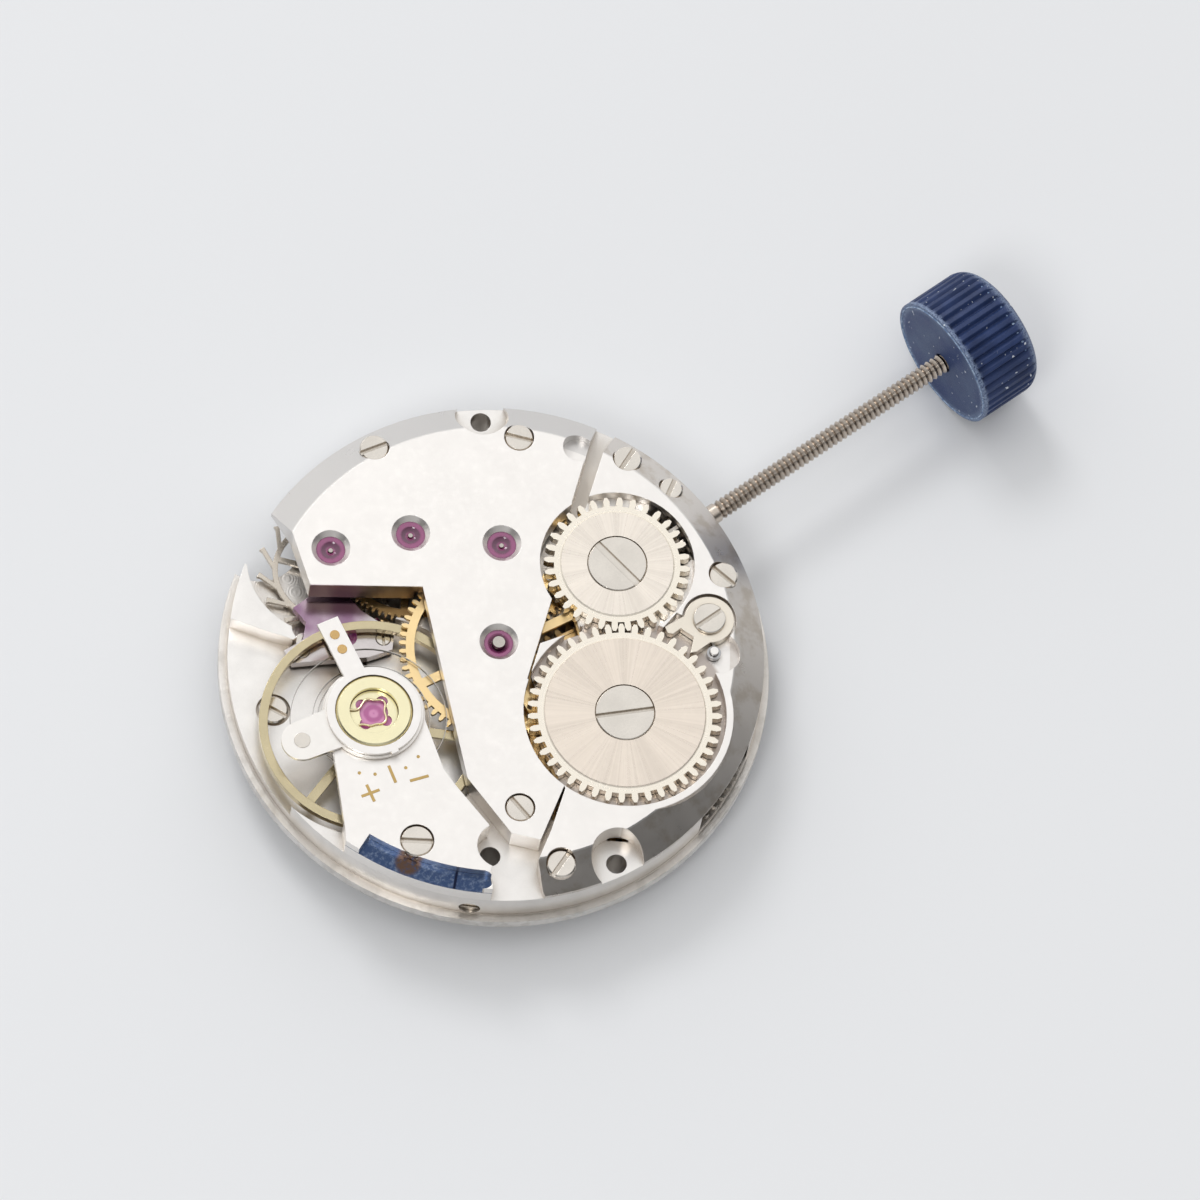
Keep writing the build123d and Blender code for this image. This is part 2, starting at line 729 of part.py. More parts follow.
main_plate.part.label = "main_plate"
export_step(main_plate.part, "parts/main_plate.step")

# Screws that clamp the dial feet
with BuildPart() as dial_foot_screws:
    for angle in foot_angles:
        seat_r = body_r - foot_screw_head_t - seam
        axis_out = (cos(radians(angle)), sin(radians(angle)), 0)
        foot_edge = foot_ring_r + foot_hole_r + seat_gap
        start = Plane(origin=(*polar(centre, foot_edge, angle), foot_screw_z), z_dir=axis_out)
        with Locations(start.location):
            Cylinder(foot_screw_r, seat_r - foot_edge, align=FOOT)
        with Locations(start.offset(seat_r - foot_edge).location):
            Cylinder(foot_screw_head_r, foot_screw_head_t, align=FOOT)
        with Locations(start.offset(seat_r - foot_edge + foot_screw_head_t).location):
            Box(3 * foot_screw_head_r, slot_w, 2 * slot_d, mode=Mode.SUBTRACT)

dial_foot_screws.part.label = "dial_foot_screws"
export_step(dial_foot_screws.part, "parts/dial_foot_screws.step")

# Jewels that the lower pivots turn in
with BuildPart() as lower_jewels:
    for at, r, z0 in lower_seats:
        hole_r = centre_lower_r if at == centre else pivot_r + pivot_gap
        jewel(at, r, jewel_t, z0, hole_r, cup_up=False)

lower_jewels.part.label = "lower_jewels"
export_step(lower_jewels.part, "parts/lower_jewels.step")

# Train bridge: covers the centre, third, fourth and escape wheels
train_outline_shares = [
    (-0.347, 1.05),
    (-0.365, 0.799),
    (-0.438, 0.589),
    (-0.099, 0.342),
    (-0.429, -0.374),
    (-0.429, -0.644),
    (-0.356, -0.728),
    (-0.142, -0.598),
    (0.05, -0.45),
    (0.02, -0.24),
    (-0.005, -0.181),
    (0.269, 0.027),
    (0.45, 0.09),
    (0.566, 0.297),
    (0.785, 0.466),
    (0.93, 0.56),
    (0.85, 1.05),
]
rim_pocket_share = (0.726, 0.466)
rim_pocket_at = (rim_pocket_share[0] * body_r, rim_pocket_share[1] * body_r)
rim_pocket_r = 0.63
rim_pocket_depth = 0.75
upper_jewel_z = bridge_roof + 0.5 * wheel_gap
upper_places = (centre, third, fourth, escape)
with BuildPart() as train_bridge:
    bridge_blank(shares(train_outline_shares, body_r))
    under_bridge_cut(centre, centre_pocket_r, bridge_roof)
    under_bridge_cut(barrel, barrel_pocket_r, barrel_roof)
    under_bridge_cut(balance, balance_pocket_r, rim_top + wheel_gap)
    for at, r in ((third, third_pinion_r), (fourth, fourth_pinion_r), (escape, escape_pinion_r)):
        under_bridge_cut(at, r + 2 * wheel_gap, bridge_roof)
    for at in upper_places:
        post(at, jewel_r, upper_jewel_z, top_z + cut_over, mode=Mode.SUBTRACT)
        post(at, jewel_r * cup_share, plate_t, top_z, mode=Mode.SUBTRACT)
        sink_z = top_z - (sink_r - jewel_r)
        turned(
            at,
            [(0, sink_z), (jewel_r, sink_z), (sink_r, top_z), (sink_r, top_z + seam), (0, top_z + seam)],
            mode=Mode.SUBTRACT,
        )
    post(barrel, ratchet_recess_r, plate_t - cut_over, top_z + cut_over, mode=Mode.SUBTRACT)
    post(crown_wheel_at, crown_recess_r, plate_t - cut_over, top_z + cut_over, mode=Mode.SUBTRACT)
    post(case_holes_at[0], case_pad_r, plate_t - cut_over, top_z + cut_over, mode=Mode.SUBTRACT)
    post(rim_pocket_at, rim_pocket_r, top_z - rim_pocket_depth, top_z + cut_over, mode=Mode.SUBTRACT)
    counterbore(bridge_screws_at[0], screw_head_r, top_z - sunk_drop - screw_head_t, screw_shank_r)
    for at in bridge_screws_at[1:]:
        counterbore(at, screw_head_r, top_z - flush_drop - screw_head_t, screw_shank_r)

train_bridge.part.label = "train_bridge"
export_step(train_bridge.part, "parts/train_bridge.step")

# Jewels that the upper pivots of the train turn in
with BuildPart() as upper_jewels:
    for at in upper_places:
        hole_r = centre_upper_r if at == centre else pivot_r + pivot_gap
        jewel(at, jewel_r, jewel_t, upper_jewel_z, hole_r, cup_up=True)

upper_jewels.part.label = "upper_jewels"
export_step(upper_jewels.part, "parts/upper_jewels.step")

# Barrel bridge: carries the barrel, the ratchet wheel, the crown wheel and the click
barrel_outline_shares = [
    (1.0, 0.5),
    (0.79, 0.395),
    (0.635, 0.28),
    (0.34, 0.085),
    (0.325, -0.04),
    (0.284, -0.138),
    (0.122, -0.094),
    (0.028, -0.165),
    (0.014, -0.21),
    (-0.1, -0.4),
    (-0.157, -0.616),
    (-0.302, -0.72),
    (-0.41, -0.786),
    (-0.45, -0.876),
    (-0.458, -1.05),
    (1.0, -1.05),
]
crown_core_r = 0.98
crown_screw_shank_r = 0.42
ratchet_boss_r = 0.8
lever_head_r = 0.5
lever_head_drop = 0.74
click_stud_r = 0.42
click_thread_r = 0.26
spring_pin_r = 0.17
spring_pin_share = (0.639, -0.49)
spring_pin_at = (spring_pin_share[0] * body_r, spring_pin_share[1] * body_r)
spring_bearing = 55
spring_leg = 0.42
click_screw_t = 0.16
with BuildPart() as barrel_bridge:
    bridge_blank(shares(barrel_outline_shares, body_r))
    # The wall round the ratchet wheel stands out over the bevel
    low = top_z - bevel_drop
    wall_r = ratchet_recess_r + recess_wall
    with BuildSketch(Plane.XY.offset(low)):
        with Locations(barrel):
            Circle(wall_r)
        Circle(body_r, mode=Mode.INTERSECT)
        with BuildLine():
            Polyline(*shares(barrel_outline_shares, body_r), close=True)
        make_face(mode=Mode.INTERSECT)
    extrude(amount=bevel_drop)
    under_bridge_cut(centre, centre_pocket_r, lip_roof)
    under_bridge_cut(barrel, barrel_pocket_r, barrel_roof)
    post(barrel, ratchet_recess_r, ratchet_z - 0.3 * wheel_gap, top_z + cut_over, mode=Mode.SUBTRACT)
    post(barrel, ratchet_boss_r, plate_t, top_z, mode=Mode.SUBTRACT)
    post(crown_wheel_at, crown_recess_r, crown_wheel_floor, top_z + cut_over, mode=Mode.SUBTRACT)
    # Pockets over the winding and sliding pinions
    with Locations((winding_in - wheel_gap, 0, plate_t - cut_over)):
        Box(
            winding_face + winding_hub_len + 2 * wheel_gap,
            2 * winding_slot_half,
            stem_z + winding_pitch_r + 1.5 * wheel_gap - plate_t + cut_over,
            align=(Align.MIN, Align.CENTER, Align.MIN),
            mode=Mode.SUBTRACT,
        )
    with Locations((slot_in, 0, plate_t - cut_over)):
        Box(
            winding_in - slot_in,
            2 * sliding_slot_half,
            stem_z + sliding_r + 0.5 * wheel_gap - plate_t + cut_over,
            align=(Align.MIN, Align.CENTER, Align.MIN),
            mode=Mode.SUBTRACT,
        )
    with Locations(Location((slot_out - cut_over, 0, stem_z), (0, 90, 0))):
        Cylinder(stem_r + pivot_gap, body_r, align=FOOT, mode=Mode.SUBTRACT)
    post(case_holes_at[1], case_pad_r, plate_t - cut_over, top_z + cut_over, mode=Mode.SUBTRACT)
    for at in barrel_screws_at:
        counterbore(at, screw_head_r, top_z - sunk_drop - screw_head_t, screw_shank_r)
    counterbore(lever_screw_at, lever_head_r, top_z - lever_head_drop, lever_shank_r)
    crown_thread_z = stem_z + sliding_r + wheel_gap
    post(crown_wheel_at, crown_screw_shank_r, crown_thread_z, top_z, mode=Mode.SUBTRACT)
    # Pocket of the click, with a lobe for its spring
    click_floor = click_z - 0.3 * wheel_gap
    post(click_at, click_pocket_r, click_floor, top_z + cut_over, mode=Mode.SUBTRACT)
    post(click_lobe_at, click_lobe_r, click_floor, top_z + cut_over, mode=Mode.SUBTRACT)
    with BuildSketch(Plane.XY.offset(click_floor)):
        near = between(click_at, barrel, 0.5)
        with Locations(near):
            Rectangle(
                span(click_at, barrel),
                2.1 * click_pocket_r,
                rotation=bearing(click_at, barrel),
            )
        with Locations(barrel):
            Circle(wall_r + 2 * recess_wall, mode=Mode.INTERSECT)
    extrude(amount=bridge_t, mode=Mode.SUBTRACT)
    post(click_at, click_stud_r, click_floor - seat_gap, click_z + click_t)
    post(click_at, click_thread_r, plate_t, top_z + cut_over, mode=Mode.SUBTRACT)
    post(spring_pin_at, spring_pin_r, click_floor - seat_gap, click_z + click_t)

barrel_bridge.part.label = "barrel_bridge"
export_step(barrel_bridge.part, "parts/barrel_bridge.step")

# Balance cock: one foot on the plate and an arm over the balance
cock_outline_shares = [
    (-0.77, 0.0),
    (-0.93, -0.29),
    (-0.975, -0.355),
    (-1.1, -0.37),
    (-0.75, -0.95),
    (-0.6, -0.757),
    (-0.582, -0.72),
    (-0.5, -0.66),
    (-0.476, -0.567),
    (-0.482, -0.375),
    (-0.478, -0.29),
    (-0.415, -0.09),
    (-0.4, 0.02),
]
cock_ring_r = 2.1
shock_seat_r = 1.3
crescent_share = (-0.49, -0.662)
crescent_at = (crescent_share[0] * body_r, crescent_share[1] * body_r)
crescent_r = 0.97
cock_bevel_w = 0.8
cock_step = 0.45
cock_head_r = 0.68
cock_bevel_end = 229.5
cock_slot_angle = -38
cock_bevel_shares = [(-1.3, -0.52), (-1.0, -1.17)]
with BuildPart() as balance_cock:
    with BuildSketch(Plane.XY.offset(plate_t)):
        with BuildLine():
            Polyline(*shares(cock_outline_shares, body_r), close=True)
        make_face()
        with Locations(balance):
            Circle(cock_ring_r)
        with Locations(crescent_at):
            Circle(crescent_r, mode=Mode.SUBTRACT)
        Circle(body_r, mode=Mode.INTERSECT)
    extrude(amount=bridge_t)
    # Bevel at the rim, milled with a round end at each side
    with BuildSketch(Plane.XY.offset(top_z - cock_step)):
        Circle(flange_r)
        Circle(body_r - cock_bevel_w, mode=Mode.SUBTRACT)
        with BuildLine():
            Polyline(centre, *shares(cock_bevel_shares, body_r), close=True)
        make_face(mode=Mode.INTERSECT)
        with Locations(polar(centre, body_r - 0.5 * cock_bevel_w, cock_bevel_end)):
            Circle(0.5 * cock_bevel_w)
    extrude(amount=bridge_t, mode=Mode.SUBTRACT)
    under_bridge_cut(balance, balance_pocket_r, cock_roof)
    post(balance, shock_seat_r, plate_t, top_z + cut_over, mode=Mode.SUBTRACT)
    counterbore(cock_screw_at, cock_head_r, top_z - flush_drop - screw_head_t, screw_shank_r)

balance_cock.part.label = "balance_cock"
export_step(balance_cock.part, "parts/balance_cock.step")

# Pallet bridge, low in the plate beside the fourth wheel
escape_gap_r = 0.45
pallet_head_r = 0.3
pallet_head_t = 0.14
pallet_slot_angles = (15, 60)
with BuildPart() as pallet_bridge:
    with BuildSketch(Plane.XY.offset(pallet_seat)):
        with BuildLine():
            Polyline(*shares(pallet_outline_shares, body_r), close=True)
        make_face()
    extrude(amount=pallet_bridge_t)
    post(pallet_at, small_jewel_r, pallet_seat, pallet_bridge_top, mode=Mode.SUBTRACT)
    post(escape, escape_gap_r, pallet_seat - seam, top_z, mode=Mode.SUBTRACT)
    post(fourth, fourth_pocket_r, fourth_floor, top_z, mode=Mode.SUBTRACT)
    for at in pallet_feet:
        post(at, pallet_screw_r, pallet_seat - seam, top_z, mode=Mode.SUBTRACT)
        head_seat_z = pallet_bridge_top - pallet_head_t
        post(at, pallet_head_r + seat_gap, head_seat_z, top_z, mode=Mode.SUBTRACT)

pallet_bridge.part.label = "pallet_bridge"
export_step(pallet_bridge.part, "parts/pallet_bridge.step")

with BuildPart() as pallet_bridge_jewel:
    jewel(pallet_at, small_jewel_r, jewel_t, pallet_seat + seam, pivot_r + pivot_gap, cup_up=True)

pallet_bridge_jewel.part.label = "pallet_bridge_jewel"
export_step(pallet_bridge_jewel.part, "parts/pallet_bridge_jewel.step")

with BuildPart() as pallet_bridge_screws:
    for at, angle in zip(pallet_feet, pallet_slot_angles):
        slotted_screw(
            at, pallet_head_r, pallet_head_t, pallet_bridge_top, pallet_screw_r - pivot_gap,
            deep_floor + seam, angle, slot_w * 0.6, slot_d * 0.5,
        )

pallet_bridge_screws.part.label = "pallet_bridge_screws"
export_step(pallet_bridge_screws.part, "parts/pallet_bridge_screws.step")

# The six screws of the train and barrel bridges, and the one in the low shelf
with BuildPart() as bridge_screws:
    screw_foot = thread_foot + seam
    drops = (sunk_drop, flush_drop, flush_drop)
    for at, angle, drop in zip(bridge_screws_at, bridge_screw_angles, drops):
        slotted_screw(
            at, screw_head_r, screw_head_t, top_z - drop, screw_shank_r - pivot_gap, screw_foot, angle
        )
    for at, angle in zip(barrel_screws_at, barrel_screw_angles):
        slotted_screw(
            at, screw_head_r, screw_head_t, top_z - sunk_drop, screw_shank_r - pivot_gap, screw_foot,
            angle,
        )
    slotted_screw(
        shelf_screw_at, screw_head_r, screw_head_t, shelf_head_z + screw_head_t,
        screw_shank_r - pivot_gap, shelf_screw_foot, shelf_screw_angle,
    )

bridge_screws.part.label = "bridge_screws"
export_step(bridge_screws.part, "parts/bridge_screws.step")

with BuildPart() as balance_cock_screw:
    slotted_screw(
        cock_screw_at, cock_head_r, screw_head_t, top_z - flush_drop, screw_shank_r - pivot_gap,
        thread_foot + seam, cock_slot_angle, slot_w * 1.2,
    )

balance_cock_screw.part.label = "balance_cock_screw"
export_step(balance_cock_screw.part, "parts/balance_cock_screw.step")

# Barrel: drum with the teeth, cover, arbor and mainspring
drum_wall_r = root_of(barrel_pitch_r, barrel_teeth) - seam
drum_wall_t = 0.26
drum_floor_t = 0.2
cover_t = 0.18
arbor_hole_r = 0.55
core_r = 1.25
hook_gap = 0.06
drum_in_r = drum_wall_r - drum_wall_t
with BuildPart() as barrel_drum:
    toothed(
        barrel, barrel_teeth, barrel_pitch_r, barrel_teeth_z, barrel_teeth_z + barrel_teeth_t,
        barrel_phase,
    )
    post(barrel, drum_wall_r, drum_z, drum_top)
    post(barrel, drum_in_r, drum_z + drum_floor_t, drum_top + cut_over, mode=Mode.SUBTRACT)
    cover_r = drum_in_r + 0.5 * drum_wall_t
    post(barrel, cover_r, drum_top - cover_t, drum_top + cut_over, mode=Mode.SUBTRACT)
    post(barrel, arbor_hole_r + pivot_gap, barrel_floor, drum_top, mode=Mode.SUBTRACT)

barrel_drum.part.label = "barrel_drum"
export_step(barrel_drum.part, "parts/barrel_drum.step")

with BuildPart() as barrel_cover:
    post(barrel, cover_r - seat_gap, drum_top - cover_t, drum_top)
    post(barrel, arbor_hole_r + pivot_gap, barrel_floor, drum_top + cut_over, mode=Mode.SUBTRACT)

barrel_cover.part.label = "barrel_cover"
export_step(barrel_cover.part, "parts/barrel_cover.step")

arbor_square = 0.94
square_gap = 0.02
arbor_low = 0.12
arbor_top = ratchet_z + ratchet_t * 0.55
core_z = drum_z + drum_floor_t + 0.3 * wheel_gap
core_top = drum_top - cover_t - 0.3 * wheel_gap
ratchet_thread_r = 0.3
with BuildPart() as barrel_arbor:
    turned(
        barrel,
        [
            (0, arbor_low),
            (barrel_pivot_r, arbor_low),
            (barrel_pivot_r, drum_z),
            (arbor_hole_r, drum_z),
            (arbor_hole_r, core_z),
            (core_r, core_z),
            (core_r, core_top),
            (arbor_hole_r, core_top),
            (arbor_hole_r, drum_top + 0.3 * wheel_gap),
            (ratchet_boss_r - pivot_gap, drum_top + 0.3 * wheel_gap),
            (ratchet_boss_r - pivot_gap, ratchet_z - 0.3 * wheel_gap),
            (0, ratchet_z - 0.3 * wheel_gap),
        ],
    )
    with Locations((barrel_x, barrel_y, ratchet_z - 0.3 * wheel_gap)):
        Box(arbor_square, arbor_square, arbor_top - ratchet_z + 0.3 * wheel_gap, align=FOOT)
    post(barrel, ratchet_thread_r, core_z, top_z, mode=Mode.SUBTRACT)

barrel_arbor.part.label = "barrel_arbor"
export_step(barrel_arbor.part, "parts/barrel_arbor.step")


mainspring_t = 0.12
mainspring_coils = 9
mainspring_pitch = (drum_in_r - core_r - 2 * hook_gap - mainspring_t) / mainspring_coils
mainspring_stops = [
    core_r + hook_gap + 0.5 * mainspring_t + 0.5 * mainspring_pitch * k
    for k in range(2 * mainspring_coils + 1)
]
with BuildPart() as mainspring:
    spiral(barrel, mainspring_stops, mainspring_t, core_z, core_top - core_z, 0)

mainspring.part.label = "mainspring"
export_step(mainspring.part, "parts/mainspring.step")

# Going train: each wheel rides on its own pinion
rim_share = 0.09
hub_share = 0.2
arm_share = 0.1
wheel_arms = 4
centre_arm_angle = 81
third_arm_angle = 20
fourth_arm_angle = 50
seat_flange_r = 0.36
centre_seat_r = 0.85
centre_bore_r = 0.45
with BuildPart() as centre_wheel:
    train_wheel(
        centre, centre_teeth, centre_pitch_r, centre_wheel_z, centre_bore_r, centre_arm_angle,
        centre_phase,
    )

centre_wheel.part.label = "centre_wheel"
export_step(centre_wheel.part, "parts/centre_wheel.step")

cannon_low = -1.35
post_r = 0.18
with BuildPart() as centre_arbor:
    toothed(
        centre, centre_leaves, centre_pinion_r, centre_pinion_z, centre_pinion_top, centre_phase,
        share=leaf_share,
    )
    turned(
        centre,
        [
            (0, cannon_low),
            (post_r, cannon_low),
            (post_r, motion_depth),
            (centre_lower_r - pivot_gap, motion_depth),
            (centre_lower_r - pivot_gap, centre_floor),
            (centre_seat_r, centre_floor + seat_gap),
            (centre_seat_r, centre_wheel_z),
            (centre_bore_r, centre_wheel_z),
            (centre_bore_r, centre_wheel_z + wheel_t),
            (centre_upper_r - pivot_gap, centre_wheel_z + wheel_t),
            (centre_upper_r - pivot_gap, top_z - flush_drop),
            (0, top_z - flush_drop),
        ],
    )

centre_arbor.part.label = "centre_arbor"
export_step(centre_arbor.part, "parts/centre_arbor.step")

with BuildPart() as third_wheel:
    train_wheel(
        third, third_teeth, third_pitch_r, third_z, arbor_r, third_arm_angle, third_wheel_phase
    )

third_wheel.part.label = "third_wheel"
export_step(third_wheel.part, "parts/third_wheel.step")

upper_pivot_top = upper_jewel_z + jewel_t - seat_gap
with BuildPart() as third_pinion:
    pinion(
        third, third_leaves, third_pinion_r, third_phase,
        centre_wheel_z - wheel_gap, bridge_roof - 0.3 * wheel_gap,
        third_z, seat_flange_r, lower_third_z + seat_gap, upper_pivot_top,
    )

third_pinion.part.label = "third_pinion"
export_step(third_pinion.part, "parts/third_pinion.step")

with BuildPart() as fourth_wheel:
    train_wheel(
        fourth, fourth_teeth, fourth_pitch_r, fourth_z, arbor_r, fourth_arm_angle, fourth_wheel_phase
    )

fourth_wheel.part.label = "fourth_wheel"
export_step(fourth_wheel.part, "parts/fourth_wheel.step")

with BuildPart() as fourth_pinion:
    pinion(
        fourth, fourth_leaves, fourth_pinion_r, fourth_phase,
        third_z - wheel_gap, third_z + wheel_t + wheel_gap,
        fourth_z, seat_flange_r, lower_jewel_z + seat_gap, upper_pivot_top,
    )

fourth_pinion.part.label = "fourth_pinion"
export_step(fourth_pinion.part, "parts/fourth_pinion.step")

# Escape wheel with long curved club teeth
escape_hub_r = 0.55
escape_rim_r = 2.25
escape_rim_w = 0.22
club_w = 0.14
club_len = 0.2
escape_lean = 21
escape_first_tooth = 102
escape_arm_angle = 40
with BuildPart() as escape_wheel:
    with BuildSketch(Plane.XY.offset(pallet_level)):
        with Locations(escape):
            Circle(escape_rim_r)
            Circle(escape_rim_r - escape_rim_w, mode=Mode.SUBTRACT)
            with PolarLocations(0, wheel_arms, start_angle=escape_arm_angle):
                Rectangle(escape_rim_r - 0.5 * escape_rim_w, escape_rim_w, align=(Align.MIN, Align.CENTER))
            Circle(escape_hub_r)
    extrude(amount=escape_wheel_t)
    with BuildSketch(Plane.XY.offset(pallet_level)):
        for k in range(escape_teeth):
            lean = escape_first_tooth + 360 * k / escape_teeth
            root = escape_rim_r - 0.5 * escape_rim_w
            heel = escape_r - club_w
            middle = 0.5 * (root + heel)
            toe = lean - degrees(club_len / escape_r)
            with BuildLine():
                back_line = Spline(
                    polar(escape, root, lean + escape_lean),
                    polar(escape, middle, lean + 0.42 * escape_lean),
                    polar(escape, heel, lean + 0.05 * escape_lean),
                )
                Polyline(back_line @ 1, polar(escape, escape_r, lean), polar(escape, heel, toe))
                front_line = Spline(
                    polar(escape, heel, toe),
                    polar(escape, middle, lean + 0.12 * escape_lean),
                    polar(escape, root, lean + 0.6 * escape_lean),
                )
                Line(front_line @ 1, back_line @ 0)
            make_face()
    extrude(amount=escape_wheel_t)
    post(escape, arbor_r, pallet_level - seam, pallet_level + wheel_t + seam, mode=Mode.SUBTRACT)

escape_wheel.part.label = "escape_wheel"
export_step(escape_wheel.part, "parts/escape_wheel.step")

with BuildPart() as escape_pinion:
    pinion(
        escape, escape_leaves, escape_pinion_r, escape_phase,
        fourth_z - wheel_gap, bridge_roof - 2 * wheel_gap,
        pallet_level, seat_flange_r, lower_jewel_z + seat_gap, upper_pivot_top,
    )

escape_pinion.part.label = "escape_pinion"
export_step(escape_pinion.part, "parts/escape_pinion.step")

# Pallet fork, with its two stones and its arbor
arm_w = 0.34
pad_r = 0.36
pad_shift = 0.14
fork_w = 0.24
fork_reach = impulse_at_r - 0.5 * impulse_r
horn_w = 0.66
notch_w = 2 * impulse_r + 0.08
fork_bearing = bearing(pallet_at, balance)
fork_len = span(pallet_at, balance) - fork_reach
horn_at = polar(pallet_at, fork_len - horn_w, fork_bearing)
notch_foot = polar(pallet_at, fork_len - 0.6 * horn_w, fork_bearing)
with BuildPart() as pallet_fork:
    with BuildSketch(Plane.XY.offset(pallet_level)):
        for end in (entry_stone, exit_stone):
            pad_at = polar(end, pad_shift, bearing(escape, end))
            with Locations(pad_at):
                Circle(pad_r)
            with Locations(between(pallet_at, pad_at, 0.5)):
                SlotCenterToCenter(span(pallet_at, pad_at), arm_w, rotation=bearing(pallet_at, pad_at))
        with Locations(pallet_at):
            Circle(arbor_r + 0.5 * fork_w)
        with Locations(Location((*pallet_at, 0), (0, 0, fork_bearing))):
            Rectangle(fork_len, fork_w, align=(Align.MIN, Align.CENTER))
        with Locations(Location((*horn_at, 0), (0, 0, fork_bearing))):
            Rectangle(horn_w, horn_w, align=(Align.MIN, Align.CENTER))
        with Locations(Location((*notch_foot, 0), (0, 0, fork_bearing))):
            Rectangle(horn_w, notch_w, align=(Align.MIN, Align.CENTER), mode=Mode.SUBTRACT)
        for end in (entry_stone, exit_stone):
            with Locations(Location((end[0], end[1], 0), (0, 0, bearing(escape, end)))):
                Rectangle(stone_len, stone_w + 2 * seat_gap, mode=Mode.SUBTRACT)
    extrude(amount=1.3 * wheel_t)
    post(pallet_at, arbor_r, pallet_level - seam, pallet_top + seam, mode=Mode.SUBTRACT)

pallet_fork.part.label = "pallet_fork"
export_step(pallet_fork.part, "parts/pallet_fork.step")

with BuildPart() as pallet_stones:
    for end in (entry_stone, exit_stone):
        with Locations(Location((end[0], end[1], pallet_level), (0, 0, bearing(escape, end)))):
            Box(stone_len, stone_w, 1.3 * wheel_t, align=FOOT)

pallet_stones.part.label = "pallet_stones"
export_step(pallet_stones.part, "parts/pallet_stones.step")

with BuildPart() as pallet_arbor:
    low = lower_jewel_z + seat_gap
    high = pallet_seat + seam + jewel_t - seat_gap
    turned(
        pallet_at,
        [
            (0, low),
            (pivot_r, low),
            (pivot_r, low + jewel_t),
            (arbor_r, low + jewel_t),
            (arbor_r, pallet_seat - 0.3 * wheel_gap),
            (pivot_r, pallet_seat - 0.3 * wheel_gap),
            (pivot_r, high),
            (0, high),
        ],
    )

pallet_arbor.part.label = "pallet_arbor"
export_step(pallet_arbor.part, "parts/pallet_arbor.step")

# Balance: rim with three arms, staff, roller with its impulse jewel, hairspring and collet
hub_r = 0.62
arm_t = 0.14
balance_arm_w = 0.4
balance_arms = 3
balance_arm_angle = 197
arm_z = rim_z + 0.35 * rim_t
staff_seat_r = 0.3
with BuildPart() as balance_wheel:
    post(balance, balance_r, rim_z, rim_top)
    post(balance, balance_r - rim_w, rim_z - cut_over, rim_top + cut_over, mode=Mode.SUBTRACT)
    with BuildSketch(Plane.XY.offset(arm_z)):
        with Locations(balance):
            Circle(hub_r)
            with PolarLocations(0, balance_arms, start_angle=balance_arm_angle):
                Rectangle(balance_r - 0.5 * rim_w, balance_arm_w, align=(Align.MIN, Align.CENTER))
            Circle(staff_seat_r, mode=Mode.SUBTRACT)
    extrude(amount=arm_t)

balance_wheel.part.label = "balance_wheel"
export_step(balance_wheel.part, "parts/balance_wheel.step")

roller_z = pallet_top + 0.8 * wheel_gap
roller_t = 0.16
balance_pivot_r = 0.06
collet_t = 0.2
collet_z = spring_z + 0.5 * (spring_h - collet_t)
block_floor_t = 0.1
hole_jewel_t = 0.16
lower_floor_t = 0.07
lower_hole_t = 0.11
staff_low = lower_block_top - lower_floor_t - lower_hole_t + seat_gap
staff_high = cock_roof + block_floor_t + hole_jewel_t - seat_gap
with BuildPart() as balance_staff:
    turned(
        balance,
        [
            (0, staff_low),
            (balance_pivot_r, staff_low),
            (balance_pivot_r, lower_block_top),
            (arbor_r, lower_block_top + wheel_gap),
            (arbor_r, roller_z + roller_t),
            (arbor_r + seam, roller_z + roller_t),
            (staff_seat_r + seam, arm_z),
            (staff_seat_r, arm_z),
            (staff_seat_r, arm_z + arm_t),
            (arbor_r, arm_z + arm_t),
            (arbor_r, collet_z + collet_t),
            (balance_pivot_r, cock_roof - seat_gap),
            (balance_pivot_r, staff_high),
            (0, staff_high),
        ],
    )

balance_staff.part.label = "balance_staff"
export_step(balance_staff.part, "parts/balance_staff.step")

impulse_at = polar(balance, impulse_at_r, bearing(balance, pallet_at))
with BuildPart() as roller:
    post(balance, roller_r, roller_z, roller_z + roller_t)
    post(balance, arbor_r, roller_z, roller_z + roller_t, mode=Mode.SUBTRACT)
    post(impulse_at, impulse_r, roller_z, roller_z + roller_t, mode=Mode.SUBTRACT)

roller.part.label = "roller"
export_step(roller.part, "parts/roller.step")

with BuildPart() as impulse_jewel:
    post(impulse_at, impulse_r, pallet_level, roller_z + roller_t)

impulse_jewel.part.label = "impulse_jewel"
export_step(impulse_jewel.part, "parts/impulse_jewel.step")

spring_strip = 0.03
stud_angle = 167.7
stud_reach = 3.19
stud_at = polar(balance, stud_reach, stud_angle)
spring_bend_r = 3.05
coil_step = (spring_coil_r - spring_inner_r) / (2 * spring_coils)
spring_stops = [spring_inner_r + coil_step * k for k in range(2 * spring_coils + 1)]
spring_stops += [spring_bend_r, spring_end_r]
with BuildPart() as hairspring:
    spiral(balance, spring_stops, spring_strip, spring_z, spring_h, stud_angle)

hairspring.part.label = "hairspring"
export_step(hairspring.part, "parts/hairspring.step")

with BuildPart() as hairspring_collet:
    post(balance, spring_inner_r - 0.5 * spring_strip, collet_z, collet_z + collet_t)
    post(balance, arbor_r, collet_z, collet_z + collet_t, mode=Mode.SUBTRACT)

hairspring_collet.part.label = "hairspring_collet"
export_step(hairspring_collet.part, "parts/hairspring_collet.step")

